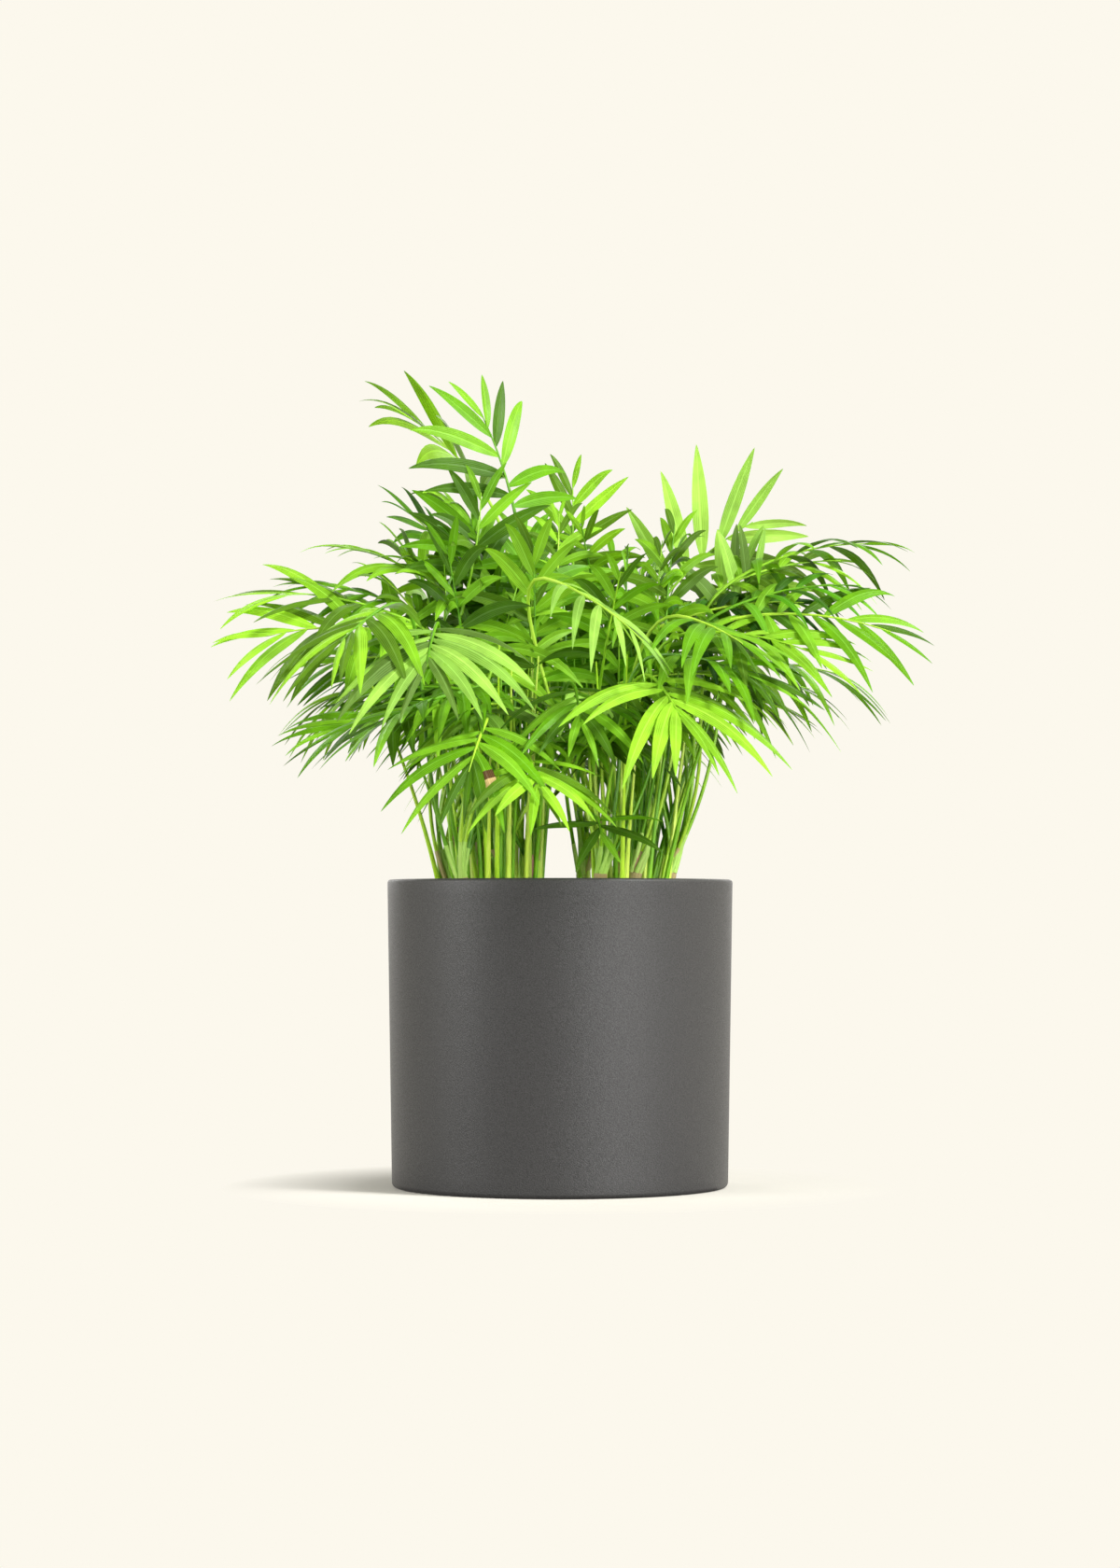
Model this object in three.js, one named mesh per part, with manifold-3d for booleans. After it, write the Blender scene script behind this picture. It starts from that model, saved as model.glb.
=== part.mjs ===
// A parlor palm: two close clumps of seedlings with arching feather fronds, in a straight-sided planter.
// Lengths are millimetres and angles degrees. +Z is up, and the origin is the centre of the planter's
// flat underside. A heading is measured from +X towards +Y, and the front of the plant faces -Y.

import * as THREE from 'three';
import Module from 'manifold-3d';

const wasm = await Module();
wasm.setup();

// Planter
const POT_HEIGHT = 186;
const RIM_RADIUS = 105;
const FOOT_RADIUS = 102;
const WALL = 6;
const FLOOR = 8;
const FOOT_ROUND = 3;
const LIP_ROUND = 1.5;
const INNER_ROUND = 4;
const POT_SIDES = 48;

// Potting mix, heaped a little away from the wall
const SOIL_LEVEL = 170;
const SOIL_SHOULDER = 12;
const SOIL_DROP = 3;

// The gap left between pieces that rest on each other
const SEAT_GAP = 0.3;

// Canes: one for each seedling, in two clumps
const CLUMPS = { left: [-41, 0], right: [38, 0] };
const CLUMP_REACH = [30, 36];
const CANES_EACH = 6;
const GOLDEN_SHARE = 0.618;
const CANE_HEIGHTS = [13, 27];
const CANE_FLARE_RADIUS = 5.2;
const CANE_RADIUS = 4.3;
const CANE_TOP_RADIUS = 4;
const CANE_FLARE_HEIGHT = 5;
const CANE_SIDES = 8;
const CANE_LEAN = 0.0035;

// Five stalks leave the top of each cane. Two at its back stand in one sheath and make one solid.
const SLOT_ANGLES = [198, 270, 342, 54, 126];
const FRONT_SLOTS = [0, 1, 2];
const BACK_SLOTS = [3, 4];
const SLOT_RADIUS = 2.4;
const SHEATH_HEIGHT = 4;
const SHEATH_HALF_WIDTH = 1.75;
const SHEATH_HALF_DEPTH = 0.7;

// Stalks: the leafless petiole, then the rachis that carries the leaflets
const STALK_FOOT_RADIUS = 1.2;
const STALK_MID_RADIUS = 1.05;
const STALK_TIP_RADIUS = 0.6;
const PETIOLE_STEPS = 4;
const RISE = 0.46;
const REACH_BACK = 0.34;
const OUTWARD = 0.85;
const RACHIS_SAMPLES = 6;
const RACHIS_SHARE = 0.97;
const STALK_CLEARANCE = 0.3;
const PARTING_CLEARANCE = 0.1;
const PARTING_STEPS = 2;
const CANE_CLEARANCE = 0.6;
const BOWS = [0, 5, -5, 10, -10, 15, -15, 21, -21, 28, -28, 36, -36];
const RISES = [1, 1.2, 0.8, 1.4, 0.6];
const SHIFTS = [0, 6, -6, 12, -12, 20, -20];

// Leaflets: a thin blade with a keel under its middle
const LEAFLET_THICKNESS = 0.0135;
const LEAFLET_WIDTH = 0.155;
const SHOULDER_AT = 0.28;
const SHOULDER_WIDTH = 0.97;
const WAIST_AT = 0.62;
const WAIST_WIDTH = 0.86;
const FIRST_ANGLE = 78;
const LAST_ANGLE = 17;
const LIFT = 13;
const LEAFLET_GAP = 0.35;

// What a leaflet tries when its own place is taken: more sag, more lift, more angle, share of its length
const DODGES = [
  [0, 0, 0, 1],
  [0.12, 0, 0, 1],
  [-0.12, 0, 0, 1],
  [0, 12, 0, 1],
  [0, -12, 0, 1],
  [0.22, 8, 5, 0.95],
  [-0.2, -8, 5, 0.95],
  [0, 0, -9, 0.92],
  [0.1, 18, -6, 0.9],
  [0.34, 0, 6, 0.86],
  [-0.3, 6, -6, 0.84],
  [0, 26, 0, 0.8],
  [0, -22, 0, 0.78],
  [0.1, 10, -12, 0.66],
  [0.1, -10, 8, 0.62],
];

// Colours of the foliage by age, from new growth to old
const TINTS = { pale: 0xa2d65c, light: 0x8cca20, mid: 0x70b20a, deep: 0x559c06, shade: 0x3c7e0a };

// The fronds of the front, as they stand in the photograph. Each line gives where the rachis ends, the
// heading and pitch that it ends with, how far it bends along the blade, its roll, and the lengths of the
// blade and its longest leaflets, then the number of leaflets, their sag and the tint.
const FRONT_FRONDS = [
  [-49, -10, 472, 180, 64, 14, 122, 66, 62, 10, 0.08, 'mid'],
  [-92, 42, 474, 180, 34, 24, 4, 66, 88, 10, 0.2, 'light'],
  [8, 45, 436, 90, 84, 4, 0, 62, 48, 10, 0.06, 'light'],
  [121, 56, 411, 8, 30, 22, -78, 78, 72, 11, 0, 'pale'],
  [70, -10, 402, 60, 76, 8, 0, 88, 50, 13, 0.3, 'light'],
  [192, 8, 392, 2, -2, 32, -10, 88, 58, 12, 0.42, 'mid'],
  [182, -18, 364, 0, -4, 28, 26, 84, 44, 12, 0.5, 'deep'],
  [174, 30, 384, 10, 0, 28, 32, 84, 50, 12, 0.45, 'light'],
  [198, -42, 334, -8, -20, 26, 40, 88, 60, 12, 0.24, 'mid'],
  [152, -70, 318, -22, -24, 24, 24, 78, 66, 12, 0.22, 'light'],
  [118, -96, 300, -36, -28, 24, 14, 72, 60, 12, 0.26, 'mid'],
  [106, -104, 322, -50, -28, 14, 0, 52, 56, 11, 0.36, 'mid'],
  [69, -135, 278, -70, -36, 10, 0, 46, 70, 11, 0.34, 'light'],
  [48, -118, 322, -42, -40, 20, 0, 80, 42, 11, 0.6, 'pale'],
  [-12, -150, 236, -80, -36, 10, 0, 34, 52, 11, 0.26, 'light'],
  [-76, -142, 308, -95, -36, 10, 0, 46, 70, 12, 0.3, 'pale'],
  [-126, -125, 322, -125, -34, 10, 0, 46, 62, 11, 0.4, 'light'],
  [-174, -34, 358, 186, -2, 26, -24, 88, 68, 12, 0.24, 'light'],
  [-174, -62, 330, 198, -14, 22, -34, 80, 70, 12, 0.22, 'light'],
  [-144, -16, 316, 184, -14, 24, -28, 74, 56, 12, 0.28, 'mid'],
  [-130, 20, 310, 178, -10, 24, -24, 66, 52, 12, 0.26, 'deep'],
  [-134, -60, 274, 200, -22, 14, -20, 48, 60, 12, 0.2, 'mid'],
  [-52, -138, 246, -104, -46, 12, 0, 44, 58, 11, 0.26, 'mid'],
  [24, -74, 213, -84, -36, 8, 0, 16, 52, 5, 0.06, 'mid'],
  [-128, 10, 390, 176, 14, 26, -14, 78, 64, 12, 0.3, 'light'],
  [-94, 22, 414, 165, 40, 20, 20, 76, 58, 12, 0.18, 'deep'],
  [-154, -10, 366, 182, 4, 24, -26, 82, 50, 12, 0.36, 'mid'],
  [-16, -44, 386, -96, 76, 8, 0, 84, 58, 12, 0.2, 'light'],
  [-68, -40, 386, -128, 72, 8, 0, 80, 58, 12, 0.24, 'mid'],
  [148, -14, 354, -4, -4, 24, 36, 84, 56, 12, 0.5, 'shade'],
  [36, -60, 368, -70, 56, 12, 0, 80, 54, 12, 0.34, 'mid'],
  [12, -116, 276, -85, -38, 12, 0, 42, 50, 11, 0.36, 'mid'],
  [-24, 20, 402, 110, 70, 10, 0, 80, 58, 12, 0.24, 'mid'],
  [-110, -108, 272, -142, -30, 14, 0, 50, 58, 11, 0.22, 'mid'],
];

// The fronds of the back, two to a sheath: how far out, how high and at what pitch each one ends
const BACK_PAIRS = 12;
const BACK_SPREAD = [8, 172];
const BACK_INNER = {
  reach: [58, 90], height: [382, 408], pitch: [52, 70],
  bend: 12, blade: 82, leaf: 56, tint: 'mid',
};
const BACK_MIDDLE = {
  reach: [112, 142], height: [338, 366], pitch: [0, 20],
  bend: 26, blade: 86, leaf: 60, tint: 'light',
};
const BACK_OUTER = {
  reach: [150, 182], height: [308, 342], pitch: [-24, -8],
  bend: 26, blade: 88, leaf: 64, tint: 'deep',
};
const BACK_LOWER = {
  reach: [128, 152], height: [294, 318], pitch: [-28, -12],
  bend: 18, blade: 60, leaf: 58, tint: 'mid',
};
const BACK_KINDS = [
  [BACK_INNER, BACK_OUTER],
  [BACK_MIDDLE, BACK_LOWER],
];
const BACK_SEED = 7;
const LEAFLET_SEED = 40;

const UP = new THREE.Vector3(0, 0, 1);
const vector = (x, y, z) => new THREE.Vector3(x, y, z);
const radians = (degrees) => THREE.MathUtils.degToRad(degrees);
const mix = (from, to, share) => from + (to - from) * share;

// A seeded draw between two values, the same on every run
function seededDraw(seed) {
  let state = Math.imul(seed + 1, 2654435761) >>> 0;
  return (low, high) => {
    state = (Math.imul(state, 1664525) + 1013904223) >>> 0;
    return mix(low, high, state / 4294967296);
  };
}

// Points on an arc of a lathe profile, angles from the outward horizontal
function arcPoints(x, y, radius, from, to, steps) {
  return Array.from({ length: steps + 1 }, (_, i) => {
    const angle = radians(mix(from, to, i / steps));
    return new THREE.Vector2(x + radius * Math.cos(angle), y + radius * Math.sin(angle));
  });
}

// A closed shape turned about the Z axis, from a profile that starts and ends on it
function turned(profile) {
  return new THREE.LatheGeometry(profile, POT_SIDES).rotateX(Math.PI / 2);
}

// The radius of the planter's inner wall at a height
function innerRadius(height) {
  return mix(FOOT_RADIUS, RIM_RADIUS, height / POT_HEIGHT) - WALL;
}

function potGeometry() {
  const innerFoot = innerRadius(FLOOR + INNER_ROUND);
  return turned([
    new THREE.Vector2(0, 0),
    ...arcPoints(FOOT_RADIUS - FOOT_ROUND, FOOT_ROUND, FOOT_ROUND, -90, 0, 2),
    ...arcPoints(RIM_RADIUS - LIP_ROUND, POT_HEIGHT - LIP_ROUND, LIP_ROUND, 0, 90, 2),
    ...arcPoints(RIM_RADIUS - WALL + LIP_ROUND, POT_HEIGHT - LIP_ROUND, LIP_ROUND, 90, 180, 2),
    ...arcPoints(innerFoot - INNER_ROUND, FLOOR + INNER_ROUND, INNER_ROUND, 0, -90, 2),
    new THREE.Vector2(0, FLOOR),
  ]);
}

function soilGeometry() {
  const bottom = FLOOR + SEAT_GAP;
  const chamferTop = bottom + INNER_ROUND + 1;
  const edgeLevel = SOIL_LEVEL - SOIL_DROP;
  const edge = innerRadius(edgeLevel) - SEAT_GAP;
  const chamfer = innerRadius(chamferTop) - SEAT_GAP;
  return turned([
    new THREE.Vector2(0, bottom),
    new THREE.Vector2(chamfer - INNER_ROUND - 1, bottom),
    new THREE.Vector2(chamfer, chamferTop),
    new THREE.Vector2(edge, edgeLevel),
    new THREE.Vector2(edge - SOIL_SHOULDER, SOIL_LEVEL),
    new THREE.Vector2(0, SOIL_LEVEL),
  ]);
}

// A closed surface put together from rings of points. A ring turns anticlockwise seen from where the
// surface grows to.
class Surface {
  constructor() {
    this.points = [];
    this.faces = [];
  }

  ring(points) {
    return points.map((point) => this.points.push(point) - 1);
  }

  face(a, b, c) {
    this.faces.push([a, b, c]);
  }

  bridge(from, to, turned = false) {
    from.forEach((a, i) => {
      const next = (i + 1) % from.length;
      this.face(a, from[next], turned ? to[i] : to[next]);
      this.face(turned ? from[next] : a, to[next], to[i]);
    });
  }

  point(from, apex) {
    const tip = this.points.push(apex) - 1;
    from.forEach((a, i) => this.face(a, from[(i + 1) % from.length], tip));
  }

  startCap(ring) {
    for (let i = 1; i < ring.length - 1; i += 1) this.face(ring[0], ring[i + 1], ring[i]);
  }

  endCap(ring) {
    for (let i = 1; i < ring.length - 1; i += 1) this.face(ring[0], ring[i], ring[i + 1]);
  }

  geometry() {
    const made = new THREE.BufferGeometry();
    const places = this.points.flatMap((p) => p.toArray());
    made.setAttribute('position', new THREE.Float32BufferAttribute(places, 3));
    made.setIndex(this.faces.flat());
    return made;
  }

  solid() {
    const vertProperties = new Float32Array(this.points.flatMap((p) => p.toArray()));
    const triVerts = new Uint32Array(this.faces.flat());
    return new wasm.Manifold(new wasm.Mesh({ numProp: 3, vertProperties, triVerts }));
  }
}

// The seedlings' canes, spread evenly across each clump and staggered from front to back
function makeCanes() {
  return Object.entries(CLUMPS).flatMap(([side, [x, y]], clump) =>
    Array.from({ length: CANES_EACH }, (_, i) => {
      const draw = seededDraw(100 * clump + i);
      const across = (2 * i + 1) / CANES_EACH - 1;
      const deep = 2 * ((0.5 + GOLDEN_SHARE * i) % 1) - 1;
      const foot = vector(x + CLUMP_REACH[0] * across, y + CLUMP_REACH[1] * deep, SOIL_LEVEL + SEAT_GAP);
      const axis = vector(foot.x * CANE_LEAN, foot.y * CANE_LEAN, 1).normalize();
      const height = draw(...CANE_HEIGHTS);
      return {
        name: `cane_${side}_${i + 1}`,
        side,
        foot,
        axis,
        top: foot.clone().addScaledVector(axis, height),
        free: [...FRONT_SLOTS],
        sheathFree: true,
      };
    }),
  );
}

// Directions across an upright axis: one nearest +X and one nearest +Y
function acrossAxis(axis) {
  const right = vector(1, 0, 0).addScaledVector(axis, -axis.x).normalize();
  return [right, axis.clone().cross(right)];
}

function caneSurface(cane) {
  const made = new Surface();
  const [right, back] = acrossAxis(cane.axis);
  const ringAt = (centre, radius, flat) =>
    made.ring(
      Array.from({ length: CANE_SIDES }, (_, i) => {
        const angle = (2 * Math.PI * i) / CANE_SIDES;
        const point = centre.clone();
        point.addScaledVector(right, radius * Math.cos(angle));
        point.addScaledVector(back, radius * Math.sin(angle));
        if (flat) point.z = centre.z;
        return point;
      }),
    );
  const flareTop = cane.foot.clone().addScaledVector(cane.axis, CANE_FLARE_HEIGHT);
  const rings = [
    ringAt(cane.foot, CANE_FLARE_RADIUS, true),
    ringAt(flareTop, CANE_RADIUS, false),
    ringAt(cane.top, CANE_TOP_RADIUS, false),
  ];
  made.startCap(rings[0]);
  made.bridge(rings[0], rings[1]);
  made.bridge(rings[1], rings[2]);
  made.endCap(rings[2]);
  return made;
}

// Where a stalk stands on its cane's top
function slotPoint(cane, slot) {
  const [right, back] = acrossAxis(cane.axis);
  const angle = radians(SLOT_ANGLES[slot]);
  const point = cane.top.clone().addScaledVector(cane.axis, SEAT_GAP);
  point.addScaledVector(right, SLOT_RADIUS * Math.cos(angle));
  point.addScaledVector(back, SLOT_RADIUS * Math.sin(angle));
  return point;
}

// How far a place in a clump lies from where a frond with this tip would best stand
function placeCost(cane, point, tip) {
  const [x, y] = CLUMPS[cane.side];
  const away = vector(tip.x - x, tip.y - y, 0);
  away.setLength(Math.min(away.length(), 170) / 6);
  const miss = Math.hypot(point.x - x - away.x, point.y - y - away.y);
  const side = tip.x < 0 ? 'left' : 'right';
  return miss + (cane.side === side ? 0 : 60) + (FRONT_SLOTS.length - cane.free.length) * 5;
}

// The free places on the canes for a frond of the front, the one nearest the way it goes first
function frontPlaces(canes, frond) {
  const found = canes.flatMap((cane) =>
    cane.free.map((slot) => {
      const point = slotPoint(cane, slot);
      return { cane, slot, point, cost: placeCost(cane, point, frond.tip) };
    }),
  );
  return found.sort((a, b) => a.cost - b.cost);
}

// The same for a frond of the back, whose partner has either been placed on a cane or not
function backPlaces(canes, frond) {
  const { partner } = frond;
  if (partner.cane) {
    const slot = BACK_SLOTS.find((other) => other !== partner.slot);
    return [{ cane: partner.cane, slot, point: slotPoint(partner.cane, slot), cost: 0 }];
  }
  const found = canes
    .filter((cane) => cane.sheathFree)
    .flatMap((cane) =>
      BACK_SLOTS.map((slot) => {
        const point = slotPoint(cane, slot);
        return { cane, slot, point, cost: placeCost(cane, point, frond.tip) };
      }),
    );
  return found.sort((a, b) => a.cost - b.cost);
}

function frontFronds() {
  return FRONT_FRONDS.map((line, i) => {
    const [x, y, z, heading, pitch, bend, roll, blade, leaf, count, sag, tint] = line;
    const name = `frond_front_${String(i + 1).padStart(2, '0')}`;
    return { name, tip: vector(x, y, z), heading, pitch, bend, roll, blade, leaf, count, sag, tint };
  });
}

function backFronds() {
  const draw = seededDraw(BACK_SEED);
  return Array.from({ length: BACK_PAIRS }, (_, i) => {
    const middle = mix(...BACK_SPREAD, i / (BACK_PAIRS - 1));
    const pair = BACK_KINDS[i % BACK_KINDS.length].map((kind, j) => {
      const bearing = middle + (j ? 4 : -4) + draw(-3, 3);
      const reach = draw(...kind.reach);
      const height = draw(...kind.height);
      return {
        name: `frond_back_${String(i + 1).padStart(2, '0')}`,
        tip: vector(reach * Math.cos(radians(bearing)), reach * Math.sin(radians(bearing)), height),
        heading: bearing + draw(-12, 12),
        pitch: draw(...kind.pitch),
        bend: kind.bend,
        roll: draw(-10, 10),
        blade: kind.blade,
        leaf: kind.leaf,
        count: 11,
        sag: draw(0.36, 0.6),
        tint: kind.tint,
      };
    });
    pair[0].partner = pair[1];
    pair[1].partner = pair[0];
    return pair;
  });
}

// The way that a frond runs at a pitch
function wayOut(frond, pitch) {
  const heading = radians(frond.heading);
  const level = Math.cos(radians(pitch));
  return vector(Math.cos(heading) * level, Math.sin(heading) * level, Math.sin(radians(pitch)));
}

// The stalk in two parts: the petiole up from its cane and over in an arch, and the rachis that bends on
// along the blade to its tip
function stalkCurves(frond, { place, rise, bow, shift }) {
  const { cane, point: foot } = place;
  const heading = radians(frond.heading);
  const side = vector(-Math.sin(heading), Math.cos(heading), 0);
  const tip = frond.tip.clone().addScaledVector(side, shift);
  const setOut = wayOut(frond, frond.pitch + frond.bend);
  const bendAt = tip.clone().addScaledVector(wayOut(frond, frond.pitch), -frond.blade / 2);
  const node = bendAt.clone().addScaledVector(setOut, -frond.blade / 2);
  const span = foot.distanceTo(node);
  const level = vector(node.x - foot.x, node.y - foot.y, 0);
  const leaving = cane.axis.clone().addScaledVector(level, OUTWARD / span);
  const first = foot.clone().addScaledVector(leaving, span * RISE * rise).addScaledVector(side, bow);
  const second = node.clone().addScaledVector(setOut, -span * REACH_BACK).addScaledVector(side, bow * 0.5);
  return {
    petiole: new THREE.CubicBezierCurve3(foot, first, second, node),
    rachis: new THREE.QuadraticBezierCurve3(node, bendAt, tip),
  };
}

// Points along both parts of a stalk, at the petiole's own steps
function stalkPoints({ petiole, rachis }) {
  return [...petiole.getSpacedPoints(PETIOLE_STEPS), ...rachis.getSpacedPoints(RACHIS_SAMPLES).slice(1)];
}

// The stalk's radius at a share of the petiole, from 0 to 1, or of the rachis, from 1 to 2
function stalkRadius(share) {
  return share < 1
    ? mix(STALK_FOOT_RADIUS, STALK_MID_RADIUS, share)
    : mix(STALK_MID_RADIUS, STALK_TIP_RADIUS, share - 1);
}

// The shortest distance between two straight pieces, each given by its ends
function segmentGap(a, b, c, d) {
  const u = b.clone().sub(a);
  const v = d.clone().sub(c);
  const w = a.clone().sub(c);
  const uu = u.dot(u);
  const uv = u.dot(v);
  const vv = v.dot(v);
  const uw = u.dot(w);
  const vw = v.dot(w);
  const flat = uu * vv - uv * uv;
  const clamp = (value) => Math.min(1, Math.max(0, value));
  let s = flat > 1e-9 ? clamp((uv * vw - vv * uw) / flat) : 0;
  const t = clamp((uv * s + vw) / vv);
  s = clamp((uv * t - uw) / uu);
  return w.addScaledVector(u, s).addScaledVector(v, -t).length();
}

// Whether a frond's line of points keeps clear of the lines already placed. Stalks of one cane part at
// its top, so they may stand closer over their first steps, and two of one sheath may touch there.
function isClear(line, cane, frond, placed) {
  return placed.every((other) => {
    if (!other.frond && other.cane === cane) return true;
    for (let i = 0; i < line.length - 1; i += 1) {
      for (let j = 0; j < other.points.length - 1; j += 1) {
        const parting = other.cane === cane && i < PARTING_STEPS && j < PARTING_STEPS;
        if (parting && other.frond === frond.partner) continue;
        const reach = parting ? 2 * STALK_FOOT_RADIUS + PARTING_CLEARANCE : other.clearance;
        if (segmentGap(line[i], line[i + 1], other.points[j], other.points[j + 1]) < reach) return false;
      }
    }
    return true;
  });
}

// Settles each frond's cane and curve. Where another stalk stands in its way, a stalk bows aside, and
// then tries the next free place.
function placeStalks(fronds, canes) {
  const placed = canes.map((cane) => ({
    cane,
    frond: null,
    points: [cane.foot, cane.top],
    clearance: CANE_FLARE_RADIUS + STALK_FOOT_RADIUS + CANE_CLEARANCE,
  }));
  for (const frond of fronds) {
    const places = frond.partner ? backPlaces(canes, frond) : frontPlaces(canes, frond);
    const tries = SHIFTS.flatMap((shift) =>
      places.flatMap((place) => RISES.flatMap((rise) => BOWS.map((bow) => ({ place, rise, bow, shift })))),
    );
    const chosen = tries.find((way) =>
      isClear(stalkPoints(stalkCurves(frond, way)), way.place.cane, frond, placed),
    );
    if (!chosen) throw new Error(`${frond.name} finds no clear way`);
    const { place } = chosen;
    place.cane.free = place.cane.free.filter((slot) => slot !== place.slot);
    if (frond.partner) place.cane.sheathFree = false;
    frond.cane = place.cane;
    frond.slot = place.slot;
    frond.curves = stalkCurves(frond, chosen);
    placed.push({
      cane: place.cane,
      frond,
      points: stalkPoints(frond.curves),
      clearance: 2 * STALK_FOOT_RADIUS + STALK_CLEARANCE,
    });
  }
}

// The stalk's own directions at a share of its parts: along it, to its left, and up from the blade
function stalkFrame(frond, share) {
  const part = share < 1 ? frond.curves.petiole : frond.curves.rachis;
  const along = part.getTangentAt(share < 1 ? share : share - 1);
  const heading = radians(frond.heading);
  const left = vector(-Math.sin(heading), Math.cos(heading), 0);
  left.addScaledVector(along, -left.dot(along)).normalize();
  const up = along.clone().cross(left);
  const roll = radians(frond.roll) * Math.min(share, 1);
  const rolledLeft = left.clone().multiplyScalar(Math.cos(roll)).addScaledVector(up, Math.sin(roll));
  const at = part.getPointAt(share < 1 ? share : share - 1);
  return { at, along, left: rolledLeft, up: along.clone().cross(rolledLeft) };
}

// Three corners round the stalk: left, right and underneath
function stalkRing({ at, left, up }, radius) {
  const corner = (aside, above) =>
    at.clone().addScaledVector(left, aside * radius).addScaledVector(up, above * radius);
  return [corner(0.87, 0.5), corner(-0.87, 0.5), corner(0, -1)];
}

// The line and width of one leaflet: which way it sets out, how far it sags, and its length
function leafletPlan(frond, index, draw) {
  const share = index / (frond.count - 1);
  const angle = mix(FIRST_ANGLE, LAST_ANGLE, share) + draw(-5, 5);
  const lift = LIFT * (1 - 0.5 * share) + draw(-7, 7);
  const sag = frond.sag * (1.25 - 0.5 * share) * draw(0.75, 1.25);
  const length = frond.leaf * (1 - 1.1 * (share - 0.38) ** 2) * draw(0.92, 1.08);
  return { side: index % 2 ? -1 : 1, angle, lift, sag, length };
}

// The rings of one leaflet beyond its root, and its tip
function leafletShape(frame, plan, dodge) {
  const [moreSag, moreLift, moreAngle, share] = dodge;
  const angle = radians(plan.angle + moreAngle);
  const lift = radians(plan.lift + moreLift);
  const length = plan.length * share;
  const sag = plan.sag + moreSag;
  const out = frame.along.clone().multiplyScalar(Math.cos(angle));
  out.addScaledVector(frame.left, plan.side * Math.sin(angle) * Math.cos(lift));
  out.addScaledVector(frame.up, Math.sin(angle) * Math.sin(lift));
  const pointAt = (s) =>
    frame.at.clone().addScaledVector(out, length * s).addScaledVector(UP, -sag * length * s * s);
  const level = frame.along.clone().addScaledVector(out, -frame.along.dot(out)).normalize();
  const ringAt = (s, width) => {
    const along = out.clone().addScaledVector(UP, -2 * sag * s).normalize();
    const across = level.clone().addScaledVector(along, -level.dot(along)).normalize();
    const up = across.clone().cross(along).multiplyScalar(plan.side);
    const half = (width * LEAFLET_WIDTH * length) / 2;
    const centre = pointAt(s);
    const near = centre.clone().addScaledVector(across, -half);
    const far = centre.clone().addScaledVector(across, half);
    const keel = centre.clone().addScaledVector(up, -LEAFLET_THICKNESS * length);
    return plan.side > 0 ? [near, far, keel] : [near, keel, far];
  };
  return {
    side: plan.side,
    shoulder: ringAt(SHOULDER_AT, SHOULDER_WIDTH),
    waist: ringAt(WAIST_AT, WAIST_WIDTH),
    tip: pointAt(1),
  };
}

function growLeaflet(surface, root, shape) {
  const shoulder = surface.ring(shape.shoulder);
  const waist = surface.ring(shape.waist);
  surface.bridge(root, shoulder, shape.side > 0);
  surface.bridge(shoulder, waist);
  surface.point(waist, shape.tip);
}

// A leaflet by itself, for trying whether its place is free
function leafletSolid(rootPoints, shape) {
  const alone = new Surface();
  const root = alone.ring(rootPoints);
  alone.startCap(root);
  growLeaflet(alone, root, shape);
  return alone.solid();
}

// The three corners on the stalk's side that a leaflet grows from, between two rings of the stalk
function leafletRoot(side, before, after) {
  return side > 0 ? [before[0], after[0], after[2]] : [before[1], after[2], after[1]];
}

// The leaflet's first free shape, or null where none of its tries keeps clear
function freeShape(frame, plan, rootPoints, others, own) {
  for (const dodge of DODGES) {
    const shape = leafletShape(frame, plan, dodge);
    const solid = leafletSolid(rootPoints, shape);
    if (others.every((other) => other.minGap(solid, 2 * LEAFLET_GAP) >= LEAFLET_GAP)) {
      const away = rootPoints.map((corner, i) => corner.clone().lerp(shape.shoulder[i], 0.35));
      const outer = leafletSolid(away, shape);
      if (own.every((other) => other.minGap(outer, 2 * LEAFLET_GAP) >= LEAFLET_GAP)) {
        own.push(outer);
        return shape;
      }
    }
  }
  return null;
}

// Rings of corners from the stalk's foot to its tip, one step for each leaflet along the rachis
function stalkRings(frond) {
  const { axis } = frond.cane;
  const left = stalkFrame(frond, 0).left;
  left.addScaledVector(axis, -left.dot(axis)).normalize();
  const shares = Array.from({ length: PETIOLE_STEPS }, (_, i) => (i + 1) / PETIOLE_STEPS);
  for (let i = 1; i <= frond.count; i += 1) shares.push(1 + (RACHIS_SHARE * i) / frond.count);
  const flatFoot = { at: frond.curves.petiole.getPoint(0), left, up: axis.clone().cross(left) };
  return {
    shares,
    rings: [
      stalkRing(flatFoot, STALK_FOOT_RADIUS),
      ...shares.map((share) => stalkRing(stalkFrame(frond, share), stalkRadius(share))),
    ],
  };
}

// One frond: its stalk with every leaflet welded to it. shapes holds a shape or null for each leaflet.
function frondSurface(frond, rings, shapes) {
  const made = new Surface();
  const corners = rings.map((ring) => made.ring(ring));
  made.startCap(corners[0]);
  for (let i = 0; i < corners.length - 1; i += 1) {
    const [left, right, under] = corners[i];
    const [nextLeft, nextRight, nextUnder] = corners[i + 1];
    const index = i - PETIOLE_STEPS;
    const shape = index >= 0 ? shapes[index] : null;
    const side = index % 2 ? -1 : 1;
    const root = leafletRoot(side, corners[i], corners[i + 1]);
    made.face(right, nextLeft, left);
    made.face(right, nextRight, nextLeft);
    made.face(under, left, nextUnder);
    made.face(under, nextUnder, right);
    if (!(shape && side > 0)) made.face(left, nextLeft, nextUnder);
    if (!(shape && side < 0)) made.face(right, nextUnder, nextRight);
    if (shape) growLeaflet(made, root, shape);
  }
  const last = corners[corners.length - 1];
  made.point([last[0], last[2], last[1]].reverse(), frond.curves.rachis.getPoint(1));
  return made;
}

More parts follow.
